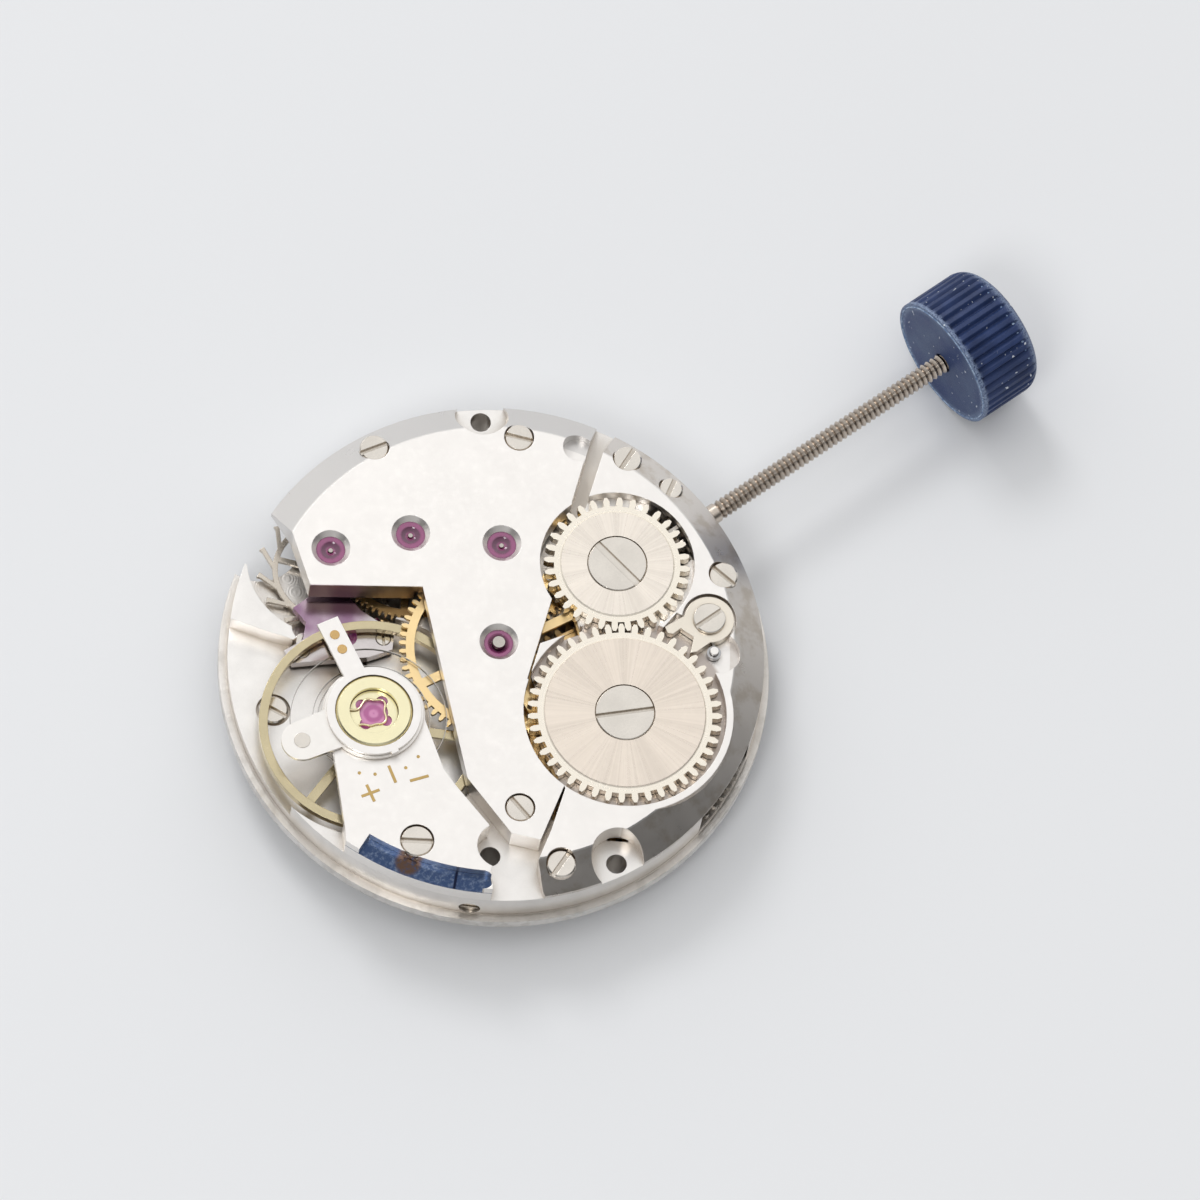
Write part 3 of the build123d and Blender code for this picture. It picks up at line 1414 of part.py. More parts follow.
# Stud carrier and regulator, two friction rings round the upper shock setting
carrier_t = 0.16
carrier_out_r = 2.02
carrier_end_r = 0.85
carrier_spread = 26
carrier_end_spread = 85
carrier_z = top_z + seat_gap
regulator_z = carrier_z + carrier_t + seat_gap
regulator_out_r = 1.92
regulator_angle = 79
regulator_arm_w = 0.92
regulator_arm_end = 4.38
regulator_tail_w = 0.3
ring_in_r = shock_r + pivot_gap
stud_r = 0.33
stud_foot_r = 0.15
with BuildPart() as stud_carrier:
    with BuildSketch(Plane.XY.offset(carrier_z)):
        with Locations(balance):
            Circle(carrier_out_r)
        with Locations(stud_at):
            Circle(carrier_end_r)
        with BuildLine():
            Polyline(
                polar(balance, carrier_out_r, stud_angle - carrier_spread),
                polar(balance, carrier_out_r, stud_angle + carrier_spread),
                polar(stud_at, carrier_end_r, stud_angle + carrier_end_spread),
                polar(stud_at, carrier_end_r, stud_angle - carrier_end_spread),
                close=True,
            )
        make_face()
        with Locations(balance):
            Circle(ring_in_r, mode=Mode.SUBTRACT)
        with Locations(stud_at):
            Circle(stud_r, mode=Mode.SUBTRACT)
    extrude(amount=carrier_t)

stud_carrier.part.label = "stud_carrier"
export_step(stud_carrier.part, "parts/stud_carrier.step")

with BuildPart() as hairspring_stud:
    post(stud_at, stud_foot_r, spring_z - seat_gap, carrier_z)
    post(stud_at, stud_r, carrier_z - seam, carrier_z + carrier_t + seat_gap)

hairspring_stud.part.label = "hairspring_stud"
export_step(hairspring_stud.part, "parts/hairspring_stud.step")

curb_reach = (2.98, 3.68)
curb_head_r = 0.2
curb_pin_r = 0.08
with BuildPart() as regulator:
    with BuildSketch(Plane.XY.offset(regulator_z)):
        with Locations(balance):
            Circle(regulator_out_r)
        with Locations(Location((*balance, 0), (0, 0, regulator_angle))):
            Rectangle(regulator_arm_end, regulator_arm_w, align=(Align.MIN, Align.CENTER))
        with Locations(Location((*balance, 0), (0, 0, regulator_angle + 180))):
            Rectangle(regulator_out_r + seam, regulator_tail_w, align=(Align.MIN, Align.CENTER))
        with Locations(balance):
            Circle(ring_in_r, mode=Mode.SUBTRACT)
        for reach in curb_reach:
            with Locations(polar(balance, reach, regulator_angle)):
                Circle(curb_head_r, mode=Mode.SUBTRACT)
    extrude(amount=carrier_t)

regulator.part.label = "regulator"
export_step(regulator.part, "parts/regulator.step")

with BuildPart() as curb_pins:
    for reach in curb_reach:
        at = polar(balance, reach, regulator_angle)
        post(at, curb_head_r, regulator_z, regulator_z + carrier_t + seat_gap)
        post(at, curb_pin_r, spring_z - seat_gap, regulator_z)

curb_pins.part.label = "curb_pins"
export_step(curb_pins.part, "parts/curb_pins.step")

# Shock settings above and below the balance: block, hole jewel, cap jewel and spring
shock_well_r = 1.0
shock_rim_t = 0.4
lower_well_r = 0.62
cap_t = 0.2
lower_cap_t = 0.12
shock_spring_t = 0.06
lower_spring_t = 0.035
stack_gap = 0.02
lower_bore_r = 0.22


upper_stack = shock_heights(cock_roof, 1, block_floor_t, hole_jewel_t, cap_t, shock_spring_t)
lower_stack = shock_heights(
    lower_block_top, -1, lower_floor_t, lower_hole_t, lower_cap_t, lower_spring_t
)
shock_top = top_z + shock_rim_t
with BuildPart() as shock_blocks:
    seat_r = shock_seat_r - seat_gap
    turned(
        balance,
        [
            (lower_bore_r, cock_roof),
            (seat_r, cock_roof),
            (seat_r, top_z),
            (shock_r, top_z),
            (shock_r, shock_top - seam),
            (shock_r - seam, shock_top),
            (shock_well_r, shock_top),
            (shock_well_r, cock_roof + block_floor_t),
            (lower_bore_r, cock_roof + block_floor_t),
        ],
    )
    low_r = lower_block_r - seat_gap
    turned(
        balance,
        [
            (lower_bore_r, lower_block_top),
            (low_r, lower_block_top),
            (low_r, lower_block_z),
            (lower_well_r, lower_block_z),
            (lower_well_r, lower_block_top - lower_floor_t),
            (lower_bore_r, lower_block_top - lower_floor_t),
        ],
    )

shock_blocks.part.label = "shock_blocks"
export_step(shock_blocks.part, "parts/shock_blocks.step")

with BuildPart() as shock_jewels:
    for stack, well in ((upper_stack, shock_well_r), (lower_stack, lower_well_r)):
        r = well - 2 * seat_gap
        for k, (z0, z1) in enumerate(stack[:2]):
            post(balance, r, z0, z1)
            if k == 0:
                post(balance, balance_pivot_r + pivot_gap, z0, z1, mode=Mode.SUBTRACT)

shock_jewels.part.label = "shock_jewels"
export_step(shock_jewels.part, "parts/shock_jewels.step")

petals = 4
petal_angle = 20
with BuildPart() as shock_springs:
    for stack, well in ((upper_stack, shock_well_r), (lower_stack, lower_well_r)):
        z0, z1 = stack[2]
        with BuildSketch(Plane.XY.offset(z0)):
            with Locations(balance):
                Circle(well - seat_gap)
                Circle(well * 0.58, mode=Mode.SUBTRACT)
                with PolarLocations(well * 0.6, petals, start_angle=petal_angle):
                    Circle(well * 0.24, mode=Mode.SUBTRACT)
        extrude(amount=z1 - z0)

shock_springs.part.label = "shock_springs"
export_step(shock_springs.part, "parts/shock_springs.step")

# Ratchet wheel and crown wheel with their screws
face_raise = 0.06
wheel_screw_r = 1.22
wheel_screw_t = 0.22
face_step = 0.3
ratchet_slot_angle = -27
crown_slot_angle = 97
ratchet_top = ratchet_z + ratchet_t
winding_face_top = ratchet_top + face_raise


with BuildPart() as ratchet_wheel:
    bright_wheel(barrel, ratchet_teeth, ratchet_pitch_r, ratchet_z, ratchet_top, ratchet_phase)
    with Locations((barrel_x, barrel_y, ratchet_z)):
        Box(
            arbor_square + square_gap, arbor_square + square_gap, bridge_t, align=FOOT,
            mode=Mode.SUBTRACT,
        )

ratchet_wheel.part.label = "ratchet_wheel"
export_step(ratchet_wheel.part, "parts/ratchet_wheel.step")

with BuildPart() as ratchet_screw:
    slotted_screw(
        barrel, wheel_screw_r, wheel_screw_t, winding_face_top + seat_gap, ratchet_thread_r - pivot_gap,
        core_z + wheel_gap, ratchet_slot_angle, slot_w, slot_d * 0.9,
    )

ratchet_screw.part.label = "ratchet_screw"
export_step(ratchet_screw.part, "parts/ratchet_screw.step")

crown_top = crown_wheel_z + crown_wheel_t
with BuildPart() as crown_wheel:
    bright_wheel(
        crown_wheel_at, crown_wheel_teeth, crown_wheel_pitch_r, crown_wheel_z, crown_top,
        crown_wheel_phase,
    )
    post(crown_wheel_at, crown_core_r + pivot_gap, crown_wheel_z, top_z, mode=Mode.SUBTRACT)

crown_wheel.part.label = "crown_wheel"
export_step(crown_wheel.part, "parts/crown_wheel.step")

crown_head_z = crown_top + face_raise - wheel_screw_t
with BuildPart() as crown_wheel_core:
    post(crown_wheel_at, crown_core_r, crown_wheel_floor, crown_head_z)
    post(crown_wheel_at, crown_screw_shank_r, crown_wheel_floor, crown_head_z, mode=Mode.SUBTRACT)

crown_wheel_core.part.label = "crown_wheel_core"
export_step(crown_wheel_core.part, "parts/crown_wheel_core.step")

with BuildPart() as crown_wheel_screw:
    slotted_screw(
        crown_wheel_at, wheel_screw_r, wheel_screw_t, crown_top + face_raise + seat_gap,
        crown_screw_shank_r - pivot_gap, crown_thread_z + seat_gap, crown_slot_angle,
        slot_w * 1.7, slot_d * 0.7,
    )

crown_wheel_screw.part.label = "crown_wheel_screw"
export_step(crown_wheel_screw.part, "parts/crown_wheel_screw.step")

# Click with two prongs, its shouldered seat, its screw and its spring
ratchet_tip_r = tip_of(ratchet_pitch_r, ratchet_teeth)
ratchet_step = 360 / ratchet_teeth
click_bite = 0.12
prong_w = 0.13
upper_prong = 27
lower_prong_near = 9
lower_gap = round((lower_prong_near - ratchet_phase) / ratchet_step - 0.5) + 0.5
lower_prong = ratchet_phase + lower_gap * ratchet_step
prong_half = 3
prong_foot = 5
click_edge_r = 0.9 * click_r
click_edge_angles = (130, 245)
with BuildPart() as click:
    with BuildSketch(Plane.XY.offset(click_z)):
        with Locations(click_at):
            Circle(click_r)
        with BuildLine():
            Polyline(
                polar(click_at, click_edge_r, click_edge_angles[0]),
                polar(barrel, ratchet_tip_r + 2 * prong_w, upper_prong + prong_half),
                polar(barrel, ratchet_tip_r + 0.5 * prong_w, upper_prong),
                polar(barrel, ratchet_tip_r + prong_w, upper_prong - prong_half),
                polar(barrel, ratchet_tip_r + 4 * prong_w, upper_prong - prong_foot),
                polar(barrel, ratchet_tip_r + 4 * prong_w, lower_prong + prong_foot),
                polar(barrel, ratchet_tip_r + 0.5 * prong_w, lower_prong + 0.5 * prong_half),
                polar(barrel, ratchet_tip_r - click_bite, lower_prong),
                polar(barrel, ratchet_tip_r + prong_w, lower_prong - 0.7 * prong_half),
                polar(click_at, click_edge_r, click_edge_angles[1]),
                close=True,
            )
        make_face()
        with Locations(click_at):
            Circle(click_stud_r + pivot_gap, mode=Mode.SUBTRACT)
    extrude(amount=click_t)

click.part.label = "click"
export_step(click.part, "parts/click.step")

with BuildPart() as click_screw:
    slotted_screw(
        click_at, click_screw_r, click_screw_t, click_z + click_t + seat_gap + click_screw_t,
        click_thread_r - pivot_gap, plate_t + seam, 0, slot_w, slot_d * 0.9,
    )

click_screw.part.label = "click_screw"
export_step(click_screw.part, "parts/click_screw.step")

click_wire = 0.1
with BuildPart() as click_spring:
    with BuildSketch(Plane.XY.offset(click_z)):
        with Locations(spring_pin_at):
            Circle(spring_pin_r + pivot_gap + click_wire)
            Circle(spring_pin_r + pivot_gap, mode=Mode.SUBTRACT)
        with Locations(Location((*spring_pin_at, 0), (0, 0, spring_bearing))):
            with Locations((spring_pin_r + pivot_gap + 0.5 * click_wire, 0)):
                Rectangle(spring_leg, click_wire, align=(Align.MIN, Align.CENTER))
    extrude(amount=0.5 * click_t)

click_spring.part.label = "click_spring"
export_step(click_spring.part, "parts/click_spring.step")

# Winding stem with pilot, square, hub, groove and thread, and the crown on its end
stem_in = slot_in - 0.85 * pilot_len
thread_in = flange_r + seam
stem_out = crown_x + 0.7 * crown_len
crest = [(thread_in, stem_r)]
threads = int((stem_out - thread_in) / thread_pitch)
for k in range(threads):
    crest.append((thread_in + thread_pitch * (k + 0.5), stem_r - thread_depth))
    crest.append((thread_in + thread_pitch * (k + 1), stem_r))
with BuildPart() as winding_stem:
    turned_on_stem(
        [
            (stem_in, 0),
            (stem_in, pilot_r),
            (slot_in + wheel_gap, pilot_r),
            (sliding_out, pilot_r),
            (sliding_out, stem_r),
            (groove_x - 0.5 * groove_w, stem_r),
            (groove_x - 0.5 * groove_w, groove_r),
            (groove_x + 0.5 * groove_w, groove_r),
            (groove_x + 0.5 * groove_w, stem_r),
            *crest,
            (crest[-1][0], 0),
        ]
    )
    with Locations((slot_in + wheel_gap, 0, stem_z)):
        Box(
            sliding_out - slot_in - wheel_gap, square_side, square_side,
            align=(Align.MIN, Align.CENTER, Align.CENTER),
        )

winding_stem.part.label = "winding_stem"
export_step(winding_stem.part, "parts/winding_stem.step")


flute_share = 0.92
flute_narrow = 0.45
flute_depth = 0.16
crown_rim_t = 0.16
crown_round = 0.75
crown_bore_len = 0.72 * crown_len
crown_end = crown_x + crown_len
with BuildPart() as crown:
    toothed_on_stem(
        crown_flutes, crown_r, crown_r - flute_depth, crown_x, crown_end, 0, flute_share, flute_narrow
    )
    with BuildSketch(Plane(origin=(0, 0, stem_z), x_dir=(1, 0, 0), z_dir=(0, -1, 0))):
        with BuildLine():
            Polyline(
                (crown_end - crown_round, crown_r), (crown_x, crown_r), (crown_x, 0), (crown_end, 0),
                (crown_end, crown_r - crown_round),
            )
            RadiusArc(
                (crown_end, crown_r - crown_round), (crown_end - crown_round, crown_r), -crown_round
            )
        make_face()
    revolve(axis=Axis((0, 0, stem_z), (1, 0, 0)), mode=Mode.INTERSECT)
    with Locations(Location((crown_x, 0, stem_z), (0, 90, 0))):
        Cylinder(crown_r, crown_rim_t, align=FOOT)
        Cylinder(stem_r + pivot_gap, crown_bore_len, align=FOOT, mode=Mode.SUBTRACT)

crown.part.label = "crown"
export_step(crown.part, "parts/crown.step")

# Winding pinion and sliding pinion
winding_tip_r = tip_of(winding_pitch_r, winding_teeth)
winding_root_r = root_of(winding_pitch_r, winding_teeth)
with BuildPart() as winding_pinion:
    toothed_on_stem(
        winding_teeth, winding_tip_r, winding_root_r, winding_in + winding_hub_len, winding_out, 90,
        leaf_share * 1.5, tip_share,
    )
    with Locations(Location((winding_in, 0, stem_z), (0, 90, 0))):
        Cylinder(winding_hub_r, winding_hub_len + 0.5 * winding_face, align=FOOT)
        Cylinder(stem_r + pivot_gap, body_r, align=FOOT, mode=Mode.SUBTRACT)

winding_pinion.part.label = "winding_pinion"
export_step(winding_pinion.part, "parts/winding_pinion.step")

sliding_teeth = 12
sliding_tooth_len = 0.3
with BuildPart() as sliding_pinion:
    toothed_on_stem(
        sliding_teeth, sliding_r, sliding_r - 0.6 * wheel_gap, sliding_in,
        sliding_in + sliding_tooth_len, 90, 0.5, tip_share,
    )
    turned_on_stem(
        [
            (sliding_in + sliding_tooth_len, 0),
            (sliding_in + sliding_tooth_len, sliding_r),
            (sliding_middle - 0.5 * sliding_groove_w, sliding_r),
            (sliding_middle - 0.5 * sliding_groove_w, sliding_groove_r),
            (sliding_middle + 0.5 * sliding_groove_w, sliding_groove_r),
            (sliding_middle + 0.5 * sliding_groove_w, sliding_r),
            (sliding_out, sliding_r),
            (sliding_out, 0),
        ]
    )
    with Locations((sliding_in, 0, stem_z)):
        Box(
            sliding_len, square_side + 2 * square_gap, square_side + 2 * square_gap,
            align=(Align.MIN, Align.CENTER, Align.CENTER), mode=Mode.SUBTRACT,
        )

sliding_pinion.part.label = "sliding_pinion"
export_step(sliding_pinion.part, "parts/sliding_pinion.step")

# Setting lever with its screw, yoke and yoke spring, in the recess of the dial side
lever_hub_r = 0.5
lever_slot_angle = 30
with BuildPart() as setting_lever:
    with BuildSketch(Plane.XY.offset(lever_z)):
        with Locations(lever_screw_at):
            Circle(lever_hub_r)
        with Locations(between(lever_screw_at, lever_post_at, 0.5)):
            SlotCenterToCenter(
                span(lever_screw_at, lever_post_at), lever_w,
                rotation=bearing(lever_screw_at, lever_post_at),
            )
    extrude(amount=lever_t)
    post(lever_post_at, lever_post_r, lever_z, stem_z)
    post(lever_screw_at, lever_shank_r + pivot_gap, 0, plate_t, mode=Mode.SUBTRACT)

setting_lever.part.label = "setting_lever"
export_step(setting_lever.part, "parts/setting_lever.step")

with BuildPart() as setting_lever_screw:
    slotted_screw(
        lever_screw_at, lever_head_r, screw_head_t, top_z - lever_head_drop + screw_head_t,
        lever_shank_r, lever_z, lever_slot_angle,
    )

setting_lever_screw.part.label = "setting_lever_screw"
export_step(setting_lever_screw.part, "parts/setting_lever_screw.step")

yoke_hub_r = 0.5
with BuildPart() as yoke:
    with BuildSketch(Plane.XY.offset(lever_z)):
        with Locations(yoke_pivot):
            Circle(yoke_hub_r)
        with Locations(between(yoke_pivot, yoke_tip, 0.5)):
            SlotCenterToCenter(
                span(yoke_pivot, yoke_tip), yoke_w, rotation=bearing(yoke_pivot, yoke_tip)
            )
    extrude(amount=lever_t)
    post(yoke_tip, yoke_post_r, lever_z, stem_z)
    post(yoke_pivot, yoke_stud_r + pivot_gap, 0, plate_t, mode=Mode.SUBTRACT)

yoke.part.label = "yoke"
export_step(yoke.part, "parts/yoke.step")

yoke_spring_w = 0.14
yoke_spring_gap = yoke_spring_w
with BuildPart() as yoke_spring:
    left = yoke_pivot[0] - 0.5 * yoke_w - 2 * yoke_spring_gap - yoke_spring_w
    with BuildSketch(Plane.XY.offset(lever_z)):
        with Locations((left, yoke_pivot[1] - 0.3 * span(yoke_pivot, yoke_tip))):
            Rectangle(
                yoke_spring_w, 0.6 * span(yoke_pivot, yoke_tip), align=(Align.CENTER, Align.MIN)
            )
        with Locations((left, yoke_pivot[1] + 0.3 * span(yoke_pivot, yoke_tip))):
            Rectangle(yoke_hub_r, 2 * yoke_spring_w)
    extrude(amount=setting_recess - lever_z)

yoke_spring.part.label = "yoke_spring"
export_step(yoke_spring.part, "parts/yoke_spring.step")

# Motion work on the dial side
motion_wheel_t = 0.15
motion_low = 0.04
minute_z = motion_depth - motion_wheel_t - 0.3 * wheel_gap
minute_seat_r = 0.35
cannon_pipe_r = 0.51
cannon_end = -1.3
hour_pipe_r = 0.76
hour_end = -0.9
with BuildPart() as cannon_pinion:
    toothed(
        centre, cannon_leaves, cannon_pitch_r, minute_z - seat_gap, motion_depth - seat_gap,
        centre_phase, share=leaf_share,
    )
    post(centre, cannon_pipe_r, hour_end, motion_depth - seat_gap)
    post(centre, minute_seat_r, cannon_end, hour_end)
    post(centre, post_r + pivot_gap * 0.5, cannon_end - cut_over, motion_depth, mode=Mode.SUBTRACT)

cannon_pinion.part.label = "cannon_pinion"
export_step(cannon_pinion.part, "parts/cannon_pinion.step")

with BuildPart() as hour_wheel:
    toothed(
        centre, hour_teeth, hour_pitch_r, motion_low, motion_low + motion_wheel_t, hour_phase
    )
    post(centre, hour_pipe_r, hour_end, motion_low + motion_wheel_t)
    post(centre, cannon_pipe_r + pivot_gap, hour_end - cut_over, motion_depth, mode=Mode.SUBTRACT)

hour_wheel.part.label = "hour_wheel"
export_step(hour_wheel.part, "parts/hour_wheel.step")

with BuildPart() as minute_wheel:
    toothed(
        minute_at, minute_teeth, minute_pitch_r, minute_z, minute_z + motion_wheel_t, minute_phase
    )
    toothed(
        minute_at, minute_leaves, minute_pinion_r, motion_low, minute_z, minute_phase, share=leaf_share
    )
    post(minute_at, arbor_r + pivot_gap, 0, motion_depth, mode=Mode.SUBTRACT)

minute_wheel.part.label = "minute_wheel"
export_step(minute_wheel.part, "parts/minute_wheel.step")

with BuildPart() as setting_wheel:
    toothed(
        setting_at, setting_teeth, setting_pitch_r, minute_z - 0.5 * wheel_gap,
        minute_z + motion_wheel_t, setting_phase,
    )
    post(setting_at, arbor_r + pivot_gap, 0, motion_depth, mode=Mode.SUBTRACT)

setting_wheel.part.label = "setting_wheel"
export_step(setting_wheel.part, "parts/setting_wheel.step")
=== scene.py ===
# %% [markdown]
# # A hand-wound watch movement, dressed for its portrait
# The solids of the movement come ready made from the frame: plate, bridges, wheels, springs and
# screws, each a node that rides on its own moving body. This lesson gives every one of them a
# finish, adds the small things that are easier to model by hand than to build as solids, and
# sets the camera and the light as in the photograph. Lengths are metres in Blender, so the
# lesson writes millimetres and multiplies by `MM`.

# %% Load the frame
import json
from math import cos, pi, radians, sin

import bmesh
import bpy
from mathutils import Matrix, Vector


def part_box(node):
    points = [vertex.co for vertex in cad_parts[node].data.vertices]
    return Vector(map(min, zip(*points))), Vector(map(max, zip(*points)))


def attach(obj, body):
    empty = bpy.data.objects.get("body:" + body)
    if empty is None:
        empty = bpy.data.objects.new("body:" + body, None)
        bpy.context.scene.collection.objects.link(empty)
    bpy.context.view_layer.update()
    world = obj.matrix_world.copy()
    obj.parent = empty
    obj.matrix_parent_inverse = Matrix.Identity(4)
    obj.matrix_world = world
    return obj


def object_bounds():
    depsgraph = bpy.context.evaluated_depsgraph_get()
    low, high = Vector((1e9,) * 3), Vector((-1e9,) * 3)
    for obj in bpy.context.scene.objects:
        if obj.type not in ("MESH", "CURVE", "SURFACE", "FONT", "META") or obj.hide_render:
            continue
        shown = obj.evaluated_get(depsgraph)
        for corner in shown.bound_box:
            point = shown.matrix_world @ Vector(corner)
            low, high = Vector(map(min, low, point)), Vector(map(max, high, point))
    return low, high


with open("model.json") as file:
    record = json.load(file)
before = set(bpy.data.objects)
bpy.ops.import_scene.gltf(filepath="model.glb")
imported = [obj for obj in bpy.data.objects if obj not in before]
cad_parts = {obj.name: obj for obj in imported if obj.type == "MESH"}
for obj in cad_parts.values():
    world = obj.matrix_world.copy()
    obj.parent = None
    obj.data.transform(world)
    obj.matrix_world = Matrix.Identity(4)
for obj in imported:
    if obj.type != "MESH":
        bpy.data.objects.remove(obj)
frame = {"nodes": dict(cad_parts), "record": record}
nodes = frame["nodes"]
MM = 0.001


def corners(box):
    """A box as plain lists of numbers."""
    return [[float(value) for value in corner] for corner in box]


cad_box = corners(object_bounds())
slot_of = {part["node"]: part["material_slot"] for part in frame["record"]["subparts"]}
print("nodes:", len(nodes), "slots:", len(set(slot_of.values())))

# %% [markdown]
# ## The camera
# The photograph looks down on the movement from 66 degrees above the dial plane, with the stem
# running up to the right. A long lens keeps the two ends of the stem nearly the same size. The
# camera is placed on that line of sight and turned by its three axes, which is simpler than
# aiming it with a constraint, and a small shift puts the movement left of the middle.

# %% Camera
IMAGE = 1200
ELEVATION = radians(65.8)
HEADING = radians(47.3)
ROLL = radians(11.2)
DISTANCE = 500 * MM
PIXELS_PER_MM = 24.427
ORIGIN_PIXEL = (493, 672)
SENSOR_WIDTH = 36
NEAREST = 10 * MM
FARTHEST = 10

across = Vector((cos(HEADING), -sin(HEADING), 0))
away = Vector((sin(HEADING), cos(HEADING), 0))
up = Vector((0, 0, 1))
back = sin(ELEVATION) * up - cos(ELEVATION) * away
rise = back.cross(across)
camera_right = cos(ROLL) * across + sin(ROLL) * rise
camera_up = cos(ROLL) * rise - sin(ROLL) * across

camera_data = bpy.data.cameras.new("photo_camera")
camera = bpy.data.objects.new("photo_camera", camera_data)
bpy.context.scene.collection.objects.link(camera)
turn = Matrix((camera_right, camera_up, back)).transposed()
camera.matrix_world = Matrix.Translation(DISTANCE * back) @ turn.to_4x4()
camera_data.sensor_width = SENSOR_WIDTH
camera_data.lens = PIXELS_PER_MM * DISTANCE / MM / IMAGE * SENSOR_WIDTH
camera_data.shift_x = (IMAGE / 2 - ORIGIN_PIXEL[0]) / IMAGE
camera_data.shift_y = (ORIGIN_PIXEL[1] - IMAGE / 2) / IMAGE
camera_data.clip_start = NEAREST
camera_data.clip_end = FARTHEST
bpy.context.scene.camera = camera
bpy.context.scene.view_settings.view_transform = "Standard"
print("lens in mm:", round(camera_data.lens, 1))

# %% [markdown]
# ## Shader maths in plain Python
# A material is a graph of nodes. Writing every Math node by hand hides the idea behind the
# wiring, so a small class wraps a socket and lets `+`, `-` and `*` add the nodes. All other nodes
# come from one method, which sets the node's own settings first and its sockets after.

# %% A number that changes over a surface
SOFT_EDGE = 0.02


class Field:
    """A socket's value; sums and products on it add Math nodes."""

    def __init__(self, shade, socket):
        self.shade = shade
        self.socket = socket

    def math(self, operation, *others):
        """One Math node, with this value first."""
        sockets = dict(enumerate([self, *others]))
        return self.shade.node("Math", {"operation": operation}, sockets)

    def __add__(self, other):
        return self.math("ADD", other)

    def __radd__(self, other):
        return self.math("ADD", other)

    def __sub__(self, other):
        return self.math("SUBTRACT", other)

    def __rsub__(self, other):
        return self.shade.node("Math", {"operation": "SUBTRACT"}, {0: other, 1: self})

    def __mul__(self, other):
        return self.math("MULTIPLY", other)

    def __rmul__(self, other):
        return self.math("MULTIPLY", other)

    def between(self, low, high):
        """0 below low, 1 above high and smooth from one to the other."""
        settings = {"interpolation_type": "SMOOTHSTEP"}
        return self.shade.node("MapRange", settings, {0: self, 1: low, 2: high, 3: 0.0, 4: 1.0})

    def past(self, edge):
        """0 before an edge and 1 past it, in millimetres."""
        return self.between(edge - SOFT_EDGE, edge + SOFT_EDGE)


# %% One material
class Shade:
    """One material: its nodes, and the colour, gloss and relief that it ends in."""

    def __init__(self, name, **constants):
        self.material = bpy.data.materials.new(name)
        self.material.use_nodes = True
        self.tree = self.material.node_tree
        self.bsdf = self.tree.nodes["Principled BSDF"]
        for socket, value in constants.items():
            self.bsdf.inputs[socket.replace("_", " ")].default_value = value
        place = self.node("TexCoord", {}, {}, out="Object")
        self.place = self.node("VectorMath", {"operation": "SCALE"}, {0: place, "Scale": 1 / MM})
        split = self.tree.nodes.new("ShaderNodeSeparateXYZ")
        self.tree.links.new(self.place.socket, split.inputs[0])
        self.x, self.y, self.z = (Field(self, split.outputs[k]) for k in range(3))

    def node(self, kind, settings, sockets, out=0):
        """Adds a node, sets it up, fills its sockets and returns one of its outputs."""
        node = self.tree.nodes.new("ShaderNode" + kind)
        for key, value in settings.items():
            setattr(node, key, value)
        for key, value in sockets.items():
            if isinstance(value, Field):
                self.tree.links.new(value.socket, node.inputs[key])
            else:
                node.inputs[key].default_value = value
        return Field(self, node.outputs[out])

    def noise(self, scale, detail=2.0, at=None, roughness=0.5):
        """Cloudy values, with the scale in waves per millimetre."""
        sockets = {"Vector": at or self.place, "Scale": scale}
        return self.node("TexNoise", {}, {**sockets, "Detail": detail, "Roughness": roughness})

    def mix(self, share, first, second):
        """Colour on the way from the first to the second."""
        colours = {6: first, 7: second}
        for key, value in colours.items():
            if not isinstance(value, Field):
                colours[key] = (*value, 1)
        return self.node("Mix", {"data_type": "RGBA"}, {0: share, **colours}, out=2)

    def away_from(self, x, y):
        """Distance in millimetres from an upright axis."""
        aside, along = self.x - x, self.y - y
        return (aside * aside + along * along).math("SQRT")

    def away_from_level(self, z):
        """Distance in millimetres from a level axis along x, at a height."""
        above = self.z - z
        return (self.y * self.y + above * above).math("SQRT")

    def heading_from(self, x, y):
        """Flat arrow of length 1 away from an upright axis."""
        moved = self.node("VectorMath", {"operation": "SUBTRACT"}, {0: self.place, 1: (x, y, 0)})
        flat = self.node("VectorMath", {"operation": "MULTIPLY"}, {0: moved, 1: (1, 1, 0)})
        return self.node("VectorMath", {"operation": "NORMALIZE"}, {0: flat})

    def openness(self, reach):
        """1 in the open and lower in a corner that is narrower than the reach in millimetres."""
        return self.node("AmbientOcclusion", {"samples": 4}, {"Distance": reach * MM}, out="AO")

    def use(self, socket, value):
        """Wires a value to one of the shader's own sockets."""
        self.tree.links.new(value.socket, self.bsdf.inputs[socket])

    def done(self, edge=0.0):
        """Wires the finish up; an edge above zero rounds the sharp edges, in millimetres."""
        self.use("Base Color", self.colour)
        self.use("Roughness", self.gloss)
        sockets = {"Height": self.relief, "Distance": MM, "Strength": 1.0}
        if edge:
            sockets["Normal"] = self.node("Bevel", {"samples": 3}, {"Radius": edge * MM})
        self.use("Normal", self.node("Bump", {}, sockets))
        return self


def blend(share, first, second):
    """Number on the way from the first to the second."""
    return share * (second - first) + first


print("shader helpers ready")

# %% [markdown]
# ## Metal finishes
# The plate and the bridges of a movement are brass under a matt nickel plating. The eye reads
# that as a pale skin with a very fine grain, a little cloudiness and tiny bright handling marks.
# Their corners are painted darker, as painted shade with the brown tint of old oil. The wheels
# are gilt brass, the pinions and screws polished steel. One function makes all these finishes,
# because they differ only in colour, in gloss and in the size of the grain. The painted corner
# shade comes from the Ambient Occlusion node, which looks at the shape itself, so it sits in
# the hollows and in the gaps between parts.

# %% Metal
OIL_SHADE_TINT = (0.42, 0.36, 0.29)


